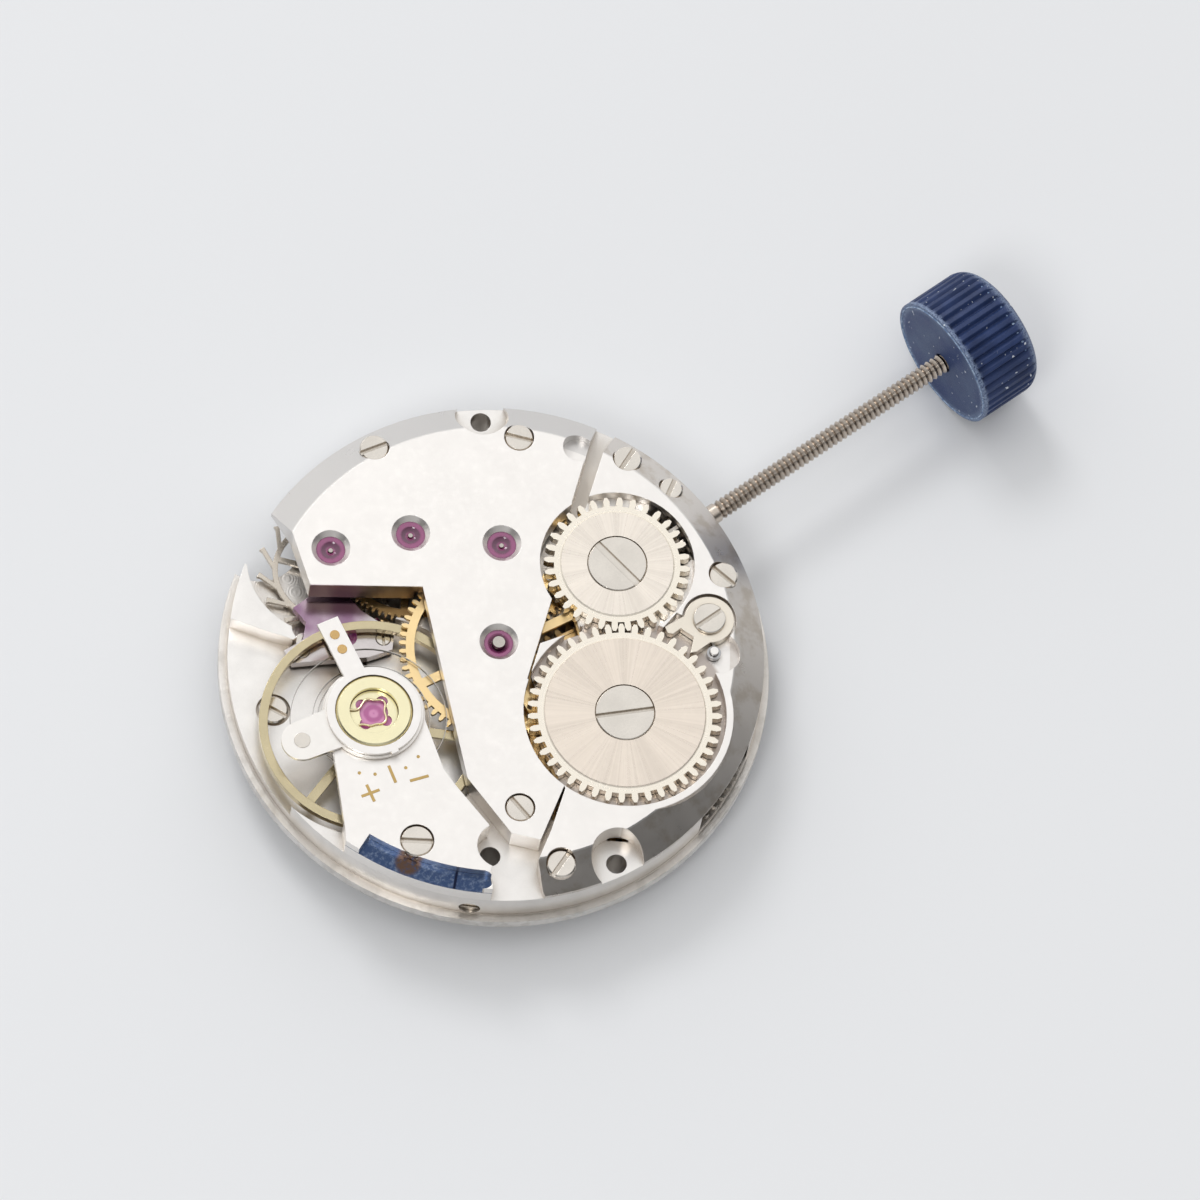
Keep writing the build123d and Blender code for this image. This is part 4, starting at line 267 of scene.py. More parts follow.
def metal(name, colour, shine, grain=30.0, depth=0.0008, cloud=0.05, oil_and_shade=0.5, reach=0.2):
    """Metal with cloudy tone, fine grain and painted shade in its corners; shine is the roughness.
    """
    shade = Shade(name, Metallic=1.0, IOR=1.5)
    clouds = shade.noise(0.9, detail=3.0)
    fine = shade.noise(grain)
    smears = shade.noise(4.0, detail=4.0, roughness=0.7).between(0.45, 0.75)
    dark = tuple(channel * (1 - 2 * cloud) for channel in colour)
    oil_shade_brown = tuple(channel * share for channel, share in zip(colour, OIL_SHADE_TINT))
    tone = shade.mix((clouds * 0.7 + fine * 0.3).between(0.3, 0.7), dark, colour)
    # Where the Ambient Occlusion node finds a corner, the colour turns brown: painted shade,
    # tinted like oil.
    shade.corner = (1 - shade.openness(reach).between(0.35, 0.85)) * oil_and_shade
    shade.colour = shade.mix(shade.corner, tone, oil_shade_brown)
    shade.gloss = blend(smears, 0.92, 1.12) * shine
    shade.relief = fine * depth
    return shade


print("metal helper ready")

# %% [markdown]
# Most metals need nothing more, so they stand in two tables. The first has a row for each material
# slot, and the second a row for each node whose metal differs from the rest of its slot: the gilt
# of the balance is greener, the centre wheel lies deep under the bridges and its gilt is painted
# lighter as painted light against the shade there, and the two pieces of the regulator are ground
# nearly white. A row gives the colour, the roughness, the grain's waves per millimetre and its
# depth, the cloudiness, the painted shade in the corners (tinted like oil), and the rounding of
# the edges in millimetres.

# %% Plain metals
SLOT_METALS = {
    "steel_polished": ((0.84, 0.79, 0.72), 0.17, 12.0, 0.0003, 0.05, 0.9, 0.03),
    "steel_pinion": ((0.62, 0.58, 0.53), 0.20, 14.0, 0.0004, 0.06, 0.5, 0.0),
    "train_brass": ((0.88, 0.62, 0.29), 0.24, 20.0, 0.0008, 0.05, 0.8, 0.02),
    "barrel_brass": ((0.78, 0.55, 0.27), 0.30, 18.0, 0.0010, 0.06, 0.8, 0.02),
    "spring_steel": ((0.52, 0.52, 0.53), 0.22, 18.0, 0.0003, 0.06, 0.5, 0.0),
    "hairspring_alloy": ((0.50, 0.48, 0.45), 0.25, 18.0, 0.0003, 0.05, 0.5, 0.0),
    "shock_gilt": ((1.0, 0.93, 0.62), 0.22, 8.0, 0.0001, 0.02, 0.8, 0.02),
    "winding_steel": ((0.80, 0.74, 0.66), 0.22, 16.0, 0.0006, 0.05, 0.5, 0.02),
}
NODE_METALS = {
    "balance_wheel": ("balance_gilt", (0.66, 0.57, 0.37), 0.25, 16.0, 0.0006, 0.05, 0.7, 0.04),
    "escape_wheel": ("escape_steel", (0.66, 0.60, 0.52), 0.28, 20.0, 0.0005, 0.05, 0.5, 0.03),
    # The centre wheel's gilt is painted lighter than the train's, as painted light, with little
    # painted corner shade.
    "centre_wheel": ("centre_gilt_painted_light", (0.95, 0.72, 0.38), 0.34, 20.0, 0.0006, 0.04, 0.2, 0.02),
    "curb_pins": ("pin_gilt", (0.66, 0.44, 0.19), 0.28, 16.0, 0.0004, 0.04, 0.5, 0.01),
    "click": ("click_steel", (0.90, 0.83, 0.72), 0.24, 16.0, 0.0005, 0.03, 0.7, 0.04),
    "regulator": ("regulator_steel", (0.91, 0.88, 0.85), 0.30, 9.0, 0.0001, 0.01, 0.3, 0.02),
    "stud_carrier": ("carrier_steel", (0.90, 0.87, 0.83), 0.30, 9.0, 0.0001, 0.01, 0.3, 0.02),
}


def plain(name, colour, shine, grain, depth, cloud, oil_and_shade, edge):
    """Finished metal from one row of a table."""
    return metal(name, colour, shine, grain, depth, cloud, oil_and_shade).done(edge)


finish = {slot: plain(slot, *row) for slot, row in SLOT_METALS.items()}
special = {node: plain(*row) for node, row in NODE_METALS.items()}
print("plain metals:", len(finish) + len(special))

# %% [markdown]
# The threaded stem is painted dark between its crests, as painted shade in the grooves. The
# depth of a point in the thread is its distance from the stem's axis, as a share of the stem's
# radius.

# %% Stem
THREAD_ROOT = 0.72
THREAD_CREST = 0.97
GROOVE_SHADE = (0.17, 0.13, 0.10)

stem_low, stem_high = (Vector(corner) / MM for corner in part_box("winding_stem"))
stem_z = (stem_low.z + stem_high.z) / 2
stem_r = (stem_high.z - stem_low.z) / 2

stem = metal("stem_steel", (0.60, 0.53, 0.46), 0.26, 14.0, depth=0.0006, cloud=0.06, oil_and_shade=0.6)
from_axis = stem.away_from_level(stem_z)
groove_shade = 1 - from_axis.between(stem_r * THREAD_ROOT, stem_r * THREAD_CREST)
# The grooves of the thread are painted dark: painted shade.
stem.colour = stem.mix(groove_shade * 0.8, stem.colour, GROOVE_SHADE)
finish["stem_steel"] = stem.done()
print("stem radius:", round(stem_r, 2), "height:", round(stem_z, 2))

# %% [markdown]
# ## The main plate
# The plate shows three surfaces. Its milled floors are matt and slightly sandy. The flange that
# rests in the case is turned, so it has fine lines that run round it, and years in a case have
# rubbed it brown in places. The dial side of a plate like this one is covered with perlage, rows
# of small overlapping rings left by a spinning abrasive peg. A Voronoi texture gives cells of that
# size, and a sine of the distance to each cell's middle gives the rings.

# %% Plate
RIM = 11.02
DIAL_SIDE = 0.46
RUBBED_RIM = (0.50, 0.47, 0.43)
LINES_OUTWARD = 9.0
LINES_UPWARD = 14.0
PERLAGE = {"Scale": 1.25, "Randomness": 0.35}
PERLAGE_WAVES = 60.0

# The plate's painted corner shade reaches 1 mm, so its deep floors are painted darker as painted
# shade.
plate = metal("plate_nickel", (0.86, 0.835, 0.805), 0.34, 22.0, depth=0.0016, oil_and_shade=0.8, reach=1.0)
from_middle = plate.away_from(0, 0)
rim = from_middle.past(RIM)
turned = {0: from_middle * LINES_OUTWARD, 2: plate.z * LINES_UPWARD}
lines = plate.noise(1.0, detail=3.0, at=plate.node("CombineXYZ", {}, turned))
rubbed = plate.noise(1.3, detail=4.0, roughness=0.65).between(0.42, 0.66)
plate.colour = plate.mix(rim * (rubbed * 0.45 + lines * 0.30), plate.colour, RUBBED_RIM)
from_peg = plate.node("TexVoronoi", {}, {"Vector": plate.place, **PERLAGE})
dial_side = (1 - plate.z.between(DIAL_SIDE - 0.01, DIAL_SIDE)) * (1 - rim)
rings = (from_peg * PERLAGE_WAVES).math("SINE") * dial_side
plate.relief = plate.relief + rings * 0.0012 + rim * (lines * 0.004 + rubbed * 0.006)
plate.gloss = plate.gloss + rim * 0.04
finish["plate_nickel"] = plate.done(edge=0.03)
print("plate ready, rim from", RIM)

# %% [markdown]
# ## Bridges
# The bridges have the same plating on a finer ground, and their wide bevels at the rim are
# polished afterwards. Polished metal has no colour of its own: it shows the table on the far
# side and the dark room on the near side. So the bevels get a smoother surface and a slightly
# deeper tone, found by their place; the deeper tone is painted shade for the dark room they
# mirror, and the light does the rest.

# %% Bridges
BRIDGE_TOP = 3.1
BEVEL_START = 9.5
NICKEL = (0.90, 0.87, 0.838)


def bridge(name, bevel_shade_colour):
    """Nickel bridge with a polished bevel towards the rim, painted a deeper tone as painted shade.
    """
    shade = metal(name, NICKEL, 0.34, 34.0, depth=0.0010, cloud=0.02, oil_and_shade=0.6, reach=0.25)
    outside = shade.away_from(0, 0).past(BEVEL_START)
    shade.bevel = outside * (1 - shade.z.between(BRIDGE_TOP - 0.06, BRIDGE_TOP - 0.03))
    streaks = shade.noise(0.8, detail=4.0, roughness=0.6)
    # The bevel takes its deeper colour: painted shade.
    shade.colour = shade.mix(shade.bevel, shade.colour, bevel_shade_colour)
    shade.gloss = blend(shade.bevel, shade.gloss, streaks * 0.16 + 0.22)
    shade.relief = shade.relief * (1 - shade.bevel)
    return shade


print("bridge tops at", BRIDGE_TOP, "mm")

# %% [markdown]
# The train bridge has a notch that lets the balance pass. Its wall faces the gilt wheels below and
# is painted dark brown, as painted shade and a painted reflection of the wheels. The wall is found
# by its straight edge, its distance from the notch and its height below the top.

# %% Train bridge
NOTCH_NORMAL = (0.575, 0.818)
NOTCH_EDGE = 2.517
NOTCH_AT = (-2.92, 5.13)
NOTCH_PAINTED_SHADE = (0.20, 0.12, 0.06)

train = bridge("bridge_nickel", (0.71, 0.69, 0.67))
inward = NOTCH_EDGE - train.x * NOTCH_NORMAL[0] - train.y * NOTCH_NORMAL[1]
near_notch = 1 - train.away_from(*NOTCH_AT).between(2.4, 2.5)
below_top = 1 - train.z.between(BRIDGE_TOP - 0.08, BRIDGE_TOP - 0.05)
wall_shade = inward.between(-0.08, -0.05) * near_notch * below_top
# The notch wall is painted dark brown: painted shade and a painted reflection.
train.colour = train.mix(wall_shade * 0.85, train.colour, NOTCH_PAINTED_SHADE)
finish["bridge_nickel"] = train.done(edge=0.03)
print("train bridge ready")

# %% [markdown]
# The barrel bridge has two places of its own. Its bevel carries cloudy stains, and the sunk ring
# that the ratchet wheel turns in is painted brown as painted shade. Through the window in the
# plate the drum of the barrel is seen from the side, and its teeth are painted dark there, as
# painted shade of the plate's rim.

# %% Barrel bridge and drum
BARREL_AT = (2.32, -5.46)
BEVEL_STAIN = (0.56, 0.50, 0.43)
RECESS_R = 4.3
RECESS_SHADE = (0.36, 0.30, 0.26)
DRUM_SHADE_R = 9.6
DRUM_SHADE = (0.30, 0.28, 0.25)

barrel_bridge = bridge("barrel_bridge_nickel", (0.72, 0.68, 0.64))
stain = barrel_bridge.noise(1.1, detail=4.0, roughness=0.6).between(0.45, 0.68)
stain = stain * barrel_bridge.bevel
barrel_bridge.colour = barrel_bridge.mix(stain * 0.8, barrel_bridge.colour, BEVEL_STAIN)
sunk = 1 - barrel_bridge.z.between(BRIDGE_TOP - 0.10, BRIDGE_TOP - 0.04)
# The sunk ring round the ratchet is painted brown: painted shade.
recess_shade = 1 - barrel_bridge.away_from(*BARREL_AT).between(RECESS_R, RECESS_R + 0.2)
recess_shade = recess_shade * sunk
barrel_bridge.colour = barrel_bridge.mix(recess_shade * 0.75, barrel_bridge.colour, RECESS_SHADE)
special["barrel_bridge"] = barrel_bridge.done(edge=0.03)

*drum_metal, drum_edge = SLOT_METALS["barrel_brass"]
drum = metal("barrel_drum_brass", *drum_metal)
# The drum's teeth beyond the rim are painted dark: painted shade.
drum_shade = drum.away_from(0, 0).between(DRUM_SHADE_R, DRUM_SHADE_R + 0.4)
drum.colour = drum.mix(drum_shade, drum.colour, DRUM_SHADE)
special["barrel_drum"] = drum.done(drum_edge)
print("barrel bridge and drum ready")

# %% [markdown]
# The balance cock has a ledge cut into its rim. The ledge is painted blue with a brown patch
# beside the screw, as a painted reflection, and a dark line is painted across it.

# %% Balance cock
LEDGE = 2.65
LEDGE_R = 10.1
LEDGE_REFLECTION, LEDGE_REFLECTION_PALE = (0.045, 0.074, 0.155), (0.15, 0.19, 0.28)
PATCH_AT = (-8.78, -5.56)
PATCH_REFLECTION = (0.10, 0.062, 0.045)
DARK_LINE_NORMAL = (0.69, -0.72)
DARK_LINE_PLACE = -0.05
DARK_LINE_COLOUR = (0.012, 0.016, 0.04)

cock = bridge("cock_nickel", NICKEL)
above = cock.z.between(LEDGE - 0.03, LEDGE - 0.01)
under = 1 - cock.z.between(LEDGE + 0.01, LEDGE + 0.03)
ledge = above * under * cock.away_from(0, 0).between(LEDGE_R, LEDGE_R + 0.04)
speckle = cock.noise(7.0, detail=4.0, roughness=0.7)
ledge_reflection = cock.mix(speckle.between(0.45, 0.7), LEDGE_REFLECTION, LEDGE_REFLECTION_PALE)
patch = 1 - cock.away_from(*PATCH_AT).between(0.40, 0.62)
ledge_reflection = cock.mix(patch * speckle.between(0.3, 0.5), ledge_reflection, PATCH_REFLECTION)
off_dark_line = cock.x * DARK_LINE_NORMAL[0] + cock.y * DARK_LINE_NORMAL[1] - DARK_LINE_PLACE
dark_line = 1 - off_dark_line.math("ABSOLUTE").between(0.03, 0.08)
ledge_reflection = cock.mix(dark_line, ledge_reflection, DARK_LINE_COLOUR)
# The ledge is painted blue, brown and dark: a painted reflection.
cock.colour = cock.mix(ledge, cock.colour, ledge_reflection)
cock.gloss = blend(ledge, cock.gloss, 0.22)
special["balance_cock"] = cock.done(edge=0.03)
print("balance cock ready, ledge at", LEDGE)

# %% [markdown]
# The pallet bridge under the balance is polished too. Near its stone it is painted purple and
# pink, as a painted reflection of the ruby in the polished steel.

# %% Pallet bridge
RUBY_REFLECTION_AT = (-4.3, 6.0)
RUBY_REFLECTION_DEEP, RUBY_REFLECTION_PALE = (0.33, 0.19, 0.30), (0.58, 0.45, 0.54)

pallet_polish = metal("pallet_bridge_polish", (0.74, 0.69, 0.68), 0.2, 18.0, depth=0.0004, oil_and_shade=0.6)
ruby_reflection = pallet_polish.mix(pallet_polish.noise(0.7).between(0.35, 0.65), RUBY_REFLECTION_DEEP, RUBY_REFLECTION_PALE)
near_stone = 1 - pallet_polish.away_from(*RUBY_REFLECTION_AT).between(1.3, 2.3)
# Near the stone the steel is painted purple and pink: a painted reflection of the ruby.
pallet_polish.colour = pallet_polish.mix(near_stone * (1 - pallet_polish.corner * 0.5), pallet_polish.colour, ruby_reflection)
special["pallet_bridge"] = pallet_polish.done(edge=0.03)
print("pallet bridge ready")

# %% [markdown]
# ## Snailed steel
# The ratchet wheel and the crown wheel are ground on their faces so that light fans out from the
# middle like a sunburst. That sheen is painted into the colour: spokes of lighter and darker tone
# come from noise that is read on a circle of size 1 round the wheel's axis, so it has no seam, and
# a few broad fans of the same kind lie under them. The band of teeth is painted brighter, as
# painted light.
# The small slope at the edge of the face is less metallic, so it shows as a fine pale line.

# %% Snailed faces
CROWN_WHEEL_AT = (6.08, 0.0)
TOOTH_PAINTED_LIGHT = (0.93, 0.865, 0.755)
SLOPE_OUT = 0.05


def snailed(name, at, colour, face_r):
    """Steel ground round an axis with painted sheen; plainer teeth past face_r are painted
    brighter.
    """
    shade = metal(name, colour, 0.27, 8.0, depth=0.0001, cloud=0.01, oil_and_shade=0.35, reach=0.15)
    heading = shade.heading_from(*at)
    from_axis = shade.away_from(*at)
    spokes = shade.noise(22.0, detail=3.0, at=heading, roughness=0.6)
    fans = shade.noise(2.2, detail=1.0, at=heading)
    on_face = 1 - from_axis.past(face_r)
    dark = tuple(channel * 0.74 for channel in colour)
    painted_sheen = (spokes * 0.45 + fans * 0.55).between(0.36, 0.60)
    # The face is painted darker between the spokes: painted sheen.
    shade.colour = shade.mix((1 - painted_sheen) * on_face * 0.5, shade.colour, dark)
    # The teeth are painted brighter, outside the painted corner shade: painted light.
    shade.colour = shade.mix((1 - on_face) * (1 - shade.corner), shade.colour, TOOTH_PAINTED_LIGHT)
    shade.gloss = shade.gloss + spokes * on_face * 0.06
    slope = 1 - (from_axis - face_r - SLOPE_OUT).math("ABSOLUTE").between(0.05, 0.12)
    shade.use("Metallic", 1 - slope * 0.6)
    return shade.done(edge=0.015)


special["ratchet_wheel"] = snailed("snailed_ratchet", BARREL_AT, (0.87, 0.775, 0.675), 3.3)
special["crown_wheel"] = snailed(
    "snailed_crown_wheel", CROWN_WHEEL_AT, (0.92, 0.845, 0.755), 2.3
)
print("snailed finishes ready")

# %% [markdown]
# ## Ruby
# The bearings are synthetic ruby: a clear stone with a mirror polish. A little light goes into it,
# so part of the shader transmits, and the colour is uneven as in a real stone. Rings of relief
# round each stone stand for the facets of the oil cup, and the same rings tint the colour as a
# painted reflection of those facets. The cap stones of the shock setting are painted a lighter
# pink, as painted light from their gilt cup below, and so is the stone of the pallet bridge.

# %% Ruby
TRAIN_AXES = [(0, 0), (2.75, 3.44), (-0.04, 5.94), (-3.12, 7.28)]
BALANCE_AT = (-6.13, 0.36)
PALLET_AT = (-4.46, 4.19)
RING_WAVES = 16.0


def ruby(name, colour, deep, centres):
    """Clear red stone with fine rings of relief and painted reflection round each of its centres.
    """
    shade = Shade(name, IOR=1.76, Transmission_Weight=0.2, Coat_Weight=0.4)
    nearest = shade.away_from(*centres[0])
    for centre in centres[1:]:
        nearest = nearest.math("MINIMUM", shade.away_from(*centre))
    rings = (nearest * RING_WAVES).math("SINE") * 0.5 + 0.5
    clouds = shade.noise(2.2, detail=3.0)
    # The rings tint the colour too: painted reflection.
    shade.colour = shade.mix((clouds * 0.5 + rings * 0.5).between(0.3, 0.75), deep, colour)
    shade.gloss = clouds * 0.06 + 0.04
    shade.relief = rings * 0.012
    return shade.done()


finish["ruby"] = ruby("ruby", (0.36, 0.075, 0.22), (0.13, 0.015, 0.075), TRAIN_AXES)
# The cap stones and the pallet stone get a lighter pink: painted light from below.
special["shock_jewels"] = ruby(
    "pink_ruby", (0.80, 0.30, 0.58), (0.55, 0.12, 0.36), [BALANCE_AT]
)
special["pallet_bridge_jewel"] = ruby(
    "pink_pallet_ruby", (0.75, 0.24, 0.55), (0.45, 0.08, 0.30), [PALLET_AT]
)
print("special finishes:", len(special))

# %% [markdown]
# ## The crown
# This crown is a moulded navy cap for handling the movement in the workshop, not the metal one of
# the finished watch. Moulded plastic is slightly cloudy, its edges wear pale, and dust sticks to
# it. The pale wear sits at both ends of the grip, found by the place along the stem.

# %% Crown plastic
NAVY, NAVY_LIGHT = (0.012, 0.027, 0.090), (0.026, 0.050, 0.150)
WORN_PLASTIC = (0.24, 0.31, 0.45)
PALER_FRONT = (0.13, 0.20, 0.36)
DUST = (0.62, 0.66, 0.72)

crown_low, crown_high = (Vector(corner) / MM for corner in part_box("crown"))
crown_r = (crown_high.z - crown_low.z) / 2

crown = Shade("crown_plastic", IOR=1.42)
clouds = crown.noise(0.7, detail=3.0)
fine = crown.noise(14.0, detail=4.0, roughness=0.7)
navy = crown.mix(clouds.between(0.3, 0.7), NAVY, NAVY_LIGHT)
near_end = 1 - (crown.x - crown_low.x).between(0.02, 0.30)
far_end = (crown.x - crown_high.x).between(-0.60, -0.15)
outer = crown.away_from_level(stem_z).between(crown_r - 0.45, crown_r - 0.12)
worn = (near_end + far_end) * outer * fine.between(0.36, 0.58)
pale = crown.mix(worn, navy, WORN_PLASTIC)
# The front face is painted a lighter, cloudy blue than the rest of the crown.
front = 1 - (crown.x - crown_low.x).between(0.0, 0.03)
paler_front = front * (1 - clouds.between(0.25, 0.75)) * 0.4
pale = crown.mix(paler_front, pale, PALER_FRONT)
dust = crown.noise(5.0, detail=1.0).between(0.735, 0.76)
crown.colour = crown.mix(dust, pale, DUST)
crown.gloss = fine * 0.25 + 0.38
crown.relief = fine * 0.012 + clouds * 0.02
finish["crown_plastic"] = crown.done(edge=0.06)
print("crown radius:", round(crown_r, 2))

# %% [markdown]
# ## Every node gets its finish
# A CAD node keeps its mesh. Only the materials in its slots change: a node takes the finish of
# its material slot, and the few with a finish of their own take that.

# %% Assign finishes
for name, node in nodes.items():
    shade = special.get(name) or finish[slot_of[name]]
    node.data.materials.clear()
    node.data.materials.append(shade.material)
print("finished nodes:", len(nodes))

# %% [markdown]
# ## Helpers for hand-made pieces
# New pieces start from a primitive and are shaped in edit mode. The frame leaves its nodes
# selected, so everything is deselected before a primitive is added, and afterwards the piece's
# place is applied, which leaves its object at the origin like the nodes.

# %% Modelling helpers
def start():
    """Leaves nothing selected before a primitive is added."""
    if bpy.context.object and bpy.context.object.mode != "OBJECT":
        bpy.ops.object.mode_set(mode="OBJECT")
    bpy.ops.object.select_all(action="DESELECT")


def pick(test):
    """Selects the edges of the edited mesh whose middle passes a test, in local place."""
    mesh = bmesh.from_edit_mesh(bpy.context.object.data)
    bpy.ops.mesh.select_all(action="DESELECT")
    for edge in mesh.edges:
        if test((edge.verts[0].co + edge.verts[1].co) / 2):
            edge.select_set(True)
    bmesh.update_edit_mesh(bpy.context.object.data)


def close_up():
    """Turns all faces of the edited mesh outwards and leaves edit mode."""
    bpy.ops.mesh.select_all(action="SELECT")
    bpy.ops.mesh.normals_make_consistent(inside=False)
    bpy.ops.object.mode_set(mode="OBJECT")


def modifier(kind, **settings):
    """Adds a modifier to the active object and applies it."""
    added = bpy.context.object.modifiers.new(kind.lower(), kind)
    for key, value in settings.items():
        setattr(added, key, value)
    bpy.ops.object.modifier_apply(modifier=added.name)


def hand_over(name, shade, body):
    """Names the active piece, applies its place, gives it its finish and lets it ride."""
    piece = bpy.context.object
    bpy.ops.object.transform_apply(location=True, rotation=True, scale=True)
    piece.name = name
    piece.data.name = name
    piece.data.materials.clear()
    piece.data.materials.append(shade.material)
    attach(piece, body)
    print(name, "faces:", len(piece.data.polygons))


print("modelling helpers ready")

# %% [markdown]
# ## Regulator marks
# A plus, two bars and four dots on the cock show which way to push the regulator. On the real
# cock they are stamped and filled with gilt. They could be cut into the solid, but as thin inlays
# they keep the solid simple and catch the light on their own small bevels. A plus or a bar starts
# as a small square whose sides are pulled out into arms.

# %% Plus and bars
MARK_W = 0.125
MARK_T = 0.022
MARK_SINK = 0.012
MARK_EDGE = 0.006
MARK_LENGTH = 0.80
QUARTER = pi / 2

gilt_mark = metal("gilt_mark", (0.55, 0.38, 0.15), 0.35, depth=0.001, cloud=0.06, oil_and_shade=0.3).done()


def on_cock(x, y):
    """Place of an inlay, sunk a little into the top of the cock."""
    return (x * MM, y * MM, (BRIDGE_TOP - MARK_SINK) * MM)


def stroke(name, x, y, angle, arms):
    """Inlay of arms that leave a small square, at a place on the cock."""
    half = 0.5 * MARK_W * MM
    start()
    bpy.ops.mesh.primitive_plane_add(
        size=MARK_W * MM, location=on_cock(x, y), rotation=(0, 0, angle)
    )
    bpy.ops.object.mode_set(mode="EDIT")
    for arm in arms:
        side = Vector((cos(arm), sin(arm), 0))
        pick(lambda middle: (middle - half * side).length < 0.1 * half)
        pull = Vector((cos(arm + angle), sin(arm + angle), 0)) * (MARK_LENGTH - MARK_W) / 2 * MM
        bpy.ops.mesh.extrude_edges_move(TRANSFORM_OT_translate={"value": tuple(pull)})
    bpy.ops.mesh.select_all(action="SELECT")
    bpy.ops.mesh.extrude_region_move(TRANSFORM_OT_translate={"value": (0, 0, MARK_T * MM)})
    close_up()
    modifier("BEVEL", width=MARK_EDGE * MM, segments=2, limit_method="ANGLE")
    hand_over(name, gilt_mark, "plate")


stroke("mark_plus", -8.32, -2.36, radians(-13.5), [k * QUARTER for k in range(4)])
stroke("mark_minus_inner", -7.10, -2.20, radians(74.6), [0, 2 * QUARTER])
stroke("mark_minus_outer", -6.31, -2.98, radians(-18.7), [0, 2 * QUARTER])

# %% Dots
DOTS = [(-8.16, -1.39), (-7.67, -1.80), (-6.48, -2.29), (-5.77, -2.19)]
DOT_R = 0.07
DOT_CROWN = 0.02
DOT_FALL = 0.008

for number, (x, y) in enumerate(DOTS, 1):
    start()
    bpy.ops.mesh.primitive_circle_add(
        vertices=20, radius=DOT_R * MM, fill_type="NGON", location=on_cock(x, y)
    )
    bpy.ops.object.mode_set(mode="EDIT")
    bpy.ops.mesh.select_all(action="SELECT")
    bpy.ops.mesh.extrude_region_move(TRANSFORM_OT_translate={"value": (0, 0, MARK_T * MM)})
    bpy.ops.mesh.inset(thickness=DOT_CROWN * MM)
    bpy.ops.transform.translate(value=(0, 0, -DOT_FALL * MM))
    close_up()
    hand_over(f"mark_dot_{number}", gilt_mark, "plate")

# %% [markdown]
# ## Lyre spring of the shock setting
# A thin gilt wire holds the cap stone of the balance in its cup. From above it runs round the
# stone like a flower with one open side. A wire is best drawn as a curve with a round section:
# a path is added, its points are set, and it becomes a mesh before its place is applied.

# %% Lyre spring
LYRE_POINTS = [
    (-0.80, 0.72), (-0.62, 0.52), (-0.42, 0.42), (-0.10, 0.62), (0.18, 0.66),
    (0.30, 0.40), (0.62, 0.30), (0.66, 0.02), (0.34, -0.18), (0.30, -0.52),
    (0.02, -0.66), (-0.22, -0.44), (-0.50, -0.44), (-0.62, -0.18), (-0.82, -0.10),
]
LYRE_WIRE = 0.05

lyre_gilt = metal("lyre_gilt", (0.97, 0.84, 0.55), 0.16, 16.0, depth=0.0003, cloud=0.03, oil_and_shade=0.4)
spring_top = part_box("shock_springs")[1][2] / MM

start()
bpy.ops.curve.primitive_nurbs_path_add(location=(BALANCE_AT[0] * MM, BALANCE_AT[1] * MM, 0))
wire = bpy.context.object.data
wire.splines.clear()
spline = wire.splines.new("NURBS")
spline.points.add(len(LYRE_POINTS) - 1)
for point, (x, y) in zip(spline.points, LYRE_POINTS):
    point.co = (x * MM, y * MM, (spring_top + 0.6 * LYRE_WIRE) * MM, 1)
spline.order_u = 4
spline.use_endpoint_u = True
wire.dimensions = "3D"
wire.resolution_u = 6
wire.bevel_depth = LYRE_WIRE * MM
wire.bevel_resolution = 2
wire.use_fill_caps = True
bpy.ops.object.convert(target="MESH")
bpy.ops.object.shade_smooth()
hand_over("shock_lyre", lyre_gilt.done(), "plate")

# %% [markdown]
# ## Moulding flash on the crown
# The two ends of the plastic cap still have the thin ragged flash of the mould. A ring of two
# rows of points is pushed about at random, from a fixed seed, then gets a wall and is smoothed.

# %% Crown flash
FLASH_DARK, FLASH_PALE = (0.12, 0.20, 0.38), (0.46, 0.58, 0.74)
FLASH_POINTS = 150
FLASH_RAGGED = 0.07
FLASH_WALL = 0.05

flash = Shade("crown_flash", IOR=1.42)
speck = flash.noise(6.0, detail=3.0)
flash.colour = flash.mix(speck.between(0.35, 0.65), FLASH_DARK, FLASH_PALE)
flash.gloss = speck * 0.2 + 0.4
flash.relief = speck * 0.01
flash.done()


def flash_ring(name, x, r, width, seed):
    """Ragged ring of flash round the crown at a place along the stem."""
    start()
    bpy.ops.mesh.primitive_circle_add(
        vertices=FLASH_POINTS, radius=r * MM,
        location=(x * MM, 0, stem_z * MM), rotation=(0, QUARTER, 0),
    )
    bpy.ops.object.mode_set(mode="EDIT")
    bpy.ops.mesh.select_all(action="SELECT")
    bpy.ops.mesh.extrude_edges_move(TRANSFORM_OT_translate={"value": (width * MM, 0, 0)})
    bpy.ops.transform.vertex_random(offset=FLASH_RAGGED * MM, uniform=0.3, seed=seed)
    bpy.ops.object.mode_set(mode="OBJECT")
    modifier("SOLIDIFY", thickness=FLASH_WALL * MM, offset=-1)
    modifier("SUBSURF", levels=1, render_levels=1)
    bpy.ops.object.shade_smooth()
    hand_over(name, flash, "stem")


flash_ring("crown_flash_front", crown_low.x - 0.05, crown_r - 0.12, 0.16, seed=3)
flash_ring("crown_flash_back", crown_high.x - 0.62, crown_r - 0.13, 0.10, seed=5)

# %% [markdown]
# ## Floor and light
# The movement lies on a pale table under soft light from all sides. Polished metal shows whatever
# stands around it, so the room matters more than lamps. The sky is bright overhead and to the
# back left, and a strip of it low down on the near right is dark, which draws the dark lower
# bevels of the bridges. Beyond that strip it is bright again, so the metal isn't black when it is
# seen from behind. Two weak lamps, one beyond the movement and one on the camera's side, keep the
# shadow on the table soft.

# %% Floor
FLOOR_SIZE = 600
TABLE_DARK, TABLE_PALE = (0.790, 0.800, 0.817), (0.810, 0.820, 0.837)

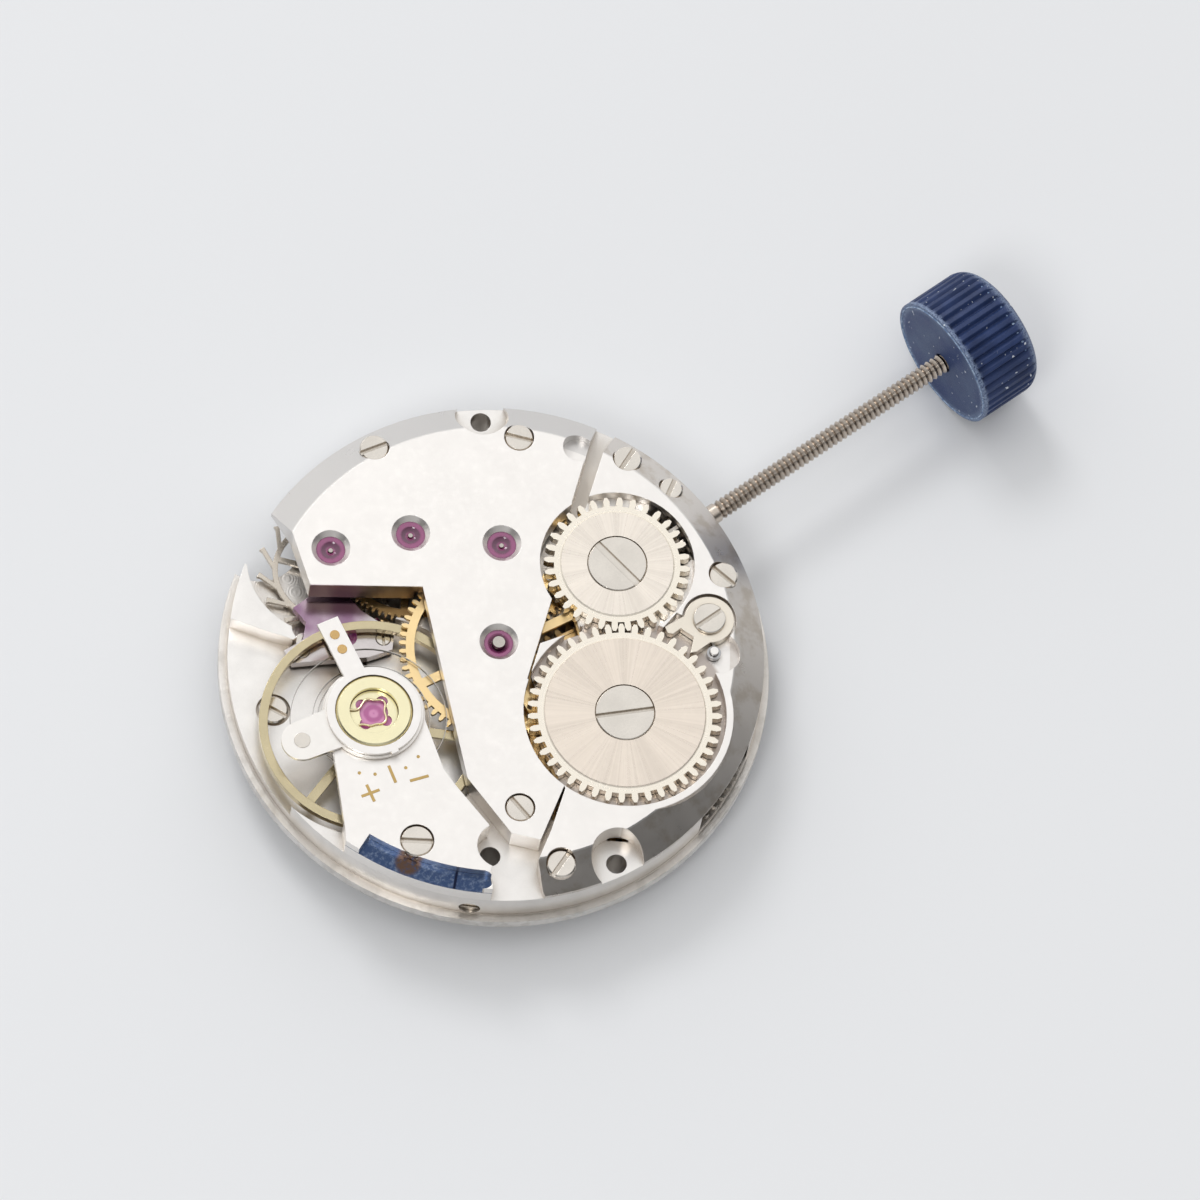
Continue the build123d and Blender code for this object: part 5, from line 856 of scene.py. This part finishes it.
start()
floor_z = cad_box[0][2]
bpy.ops.mesh.primitive_plane_add(size=FLOOR_SIZE * MM, location=(0, 0, floor_z))
floor = bpy.context.object
floor.name = "floor"
table = Shade("table", IOR=1.4)
table.colour = table.mix(table.noise(0.02), TABLE_DARK, TABLE_PALE)
table.gloss = table.noise(0.5) * 0.1 + 0.6
table.relief = table.noise(2.0) * 0.002
floor.data.materials.append(table.done().material)
print("floor at", round(floor_z / MM, 3), "mm")

# %% [markdown]
# The sky's brightness depends on how nearly a direction points at its bright side: 1 straight at
# it, 0 across and -1 away from it. A Color Ramp turns that number into a grey.

# %% Sky
BRIGHT_SIDE = (0.35, 0.60, 0.72)
SKY_STOPS = [
    (-1.0, 0.72), (-0.42, 0.68), (-0.22, 0.14), (0.0, 0.09), (0.10, 0.11), (0.20, 0.26),
    (0.30, 0.45), (0.46, 0.74), (0.66, 0.94), (0.80, 1.0), (0.93, 0.91),
]

world = bpy.data.worlds.new("studio")
bpy.context.scene.world = world
world.use_nodes = True
sky = world.node_tree
direction = sky.nodes.new("ShaderNodeTexCoord")
facing = sky.nodes.new("ShaderNodeVectorMath")
facing.operation = "DOT_PRODUCT"
facing.inputs[1].default_value = Vector(BRIGHT_SIDE).normalized()
share = sky.nodes.new("ShaderNodeMapRange")
share.inputs["From Min"].default_value = -1.0
ramp = sky.nodes.new("ShaderNodeValToRGB")
while len(ramp.color_ramp.elements) < len(SKY_STOPS):
    ramp.color_ramp.elements.new(0.5)
for element, (nearness, brightness) in zip(ramp.color_ramp.elements, SKY_STOPS):
    element.position = (nearness + 1) / 2
    element.color = (brightness, brightness, brightness, 1)
sky.links.new(direction.outputs["Generated"], facing.inputs[0])
sky.links.new(facing.outputs["Value"], share.inputs["Value"])
sky.links.new(share.outputs[0], ramp.inputs[0])
sky.links.new(ramp.outputs[0], sky.nodes["Background"].inputs[0])
print("sky stops:", len(SKY_STOPS))


# %% Lamps
LAMP_SIZE = 170


def lamp(name, direction, energy):
    """Round soft lamp half a metre away, aimed at the movement."""
    data = bpy.data.lights.new(name, "AREA")
    data.shape = "DISK"
    data.size = LAMP_SIZE * MM
    data.energy = energy
    made = bpy.data.objects.new(name, data)
    bpy.context.scene.collection.objects.link(made)
    aim = direction.normalized()
    facing_in = aim.to_track_quat("Z", "Y").to_matrix().to_4x4()
    made.matrix_world = Matrix.Translation(DISTANCE * aim) @ facing_in


lamp("window", 0.9 * up + 0.7 * away - 0.5 * across, 0.55)
lamp("fill", 0.75 * up - 0.55 * away - 0.2 * across, 0.50)
print("lamps:", len(bpy.data.lights))
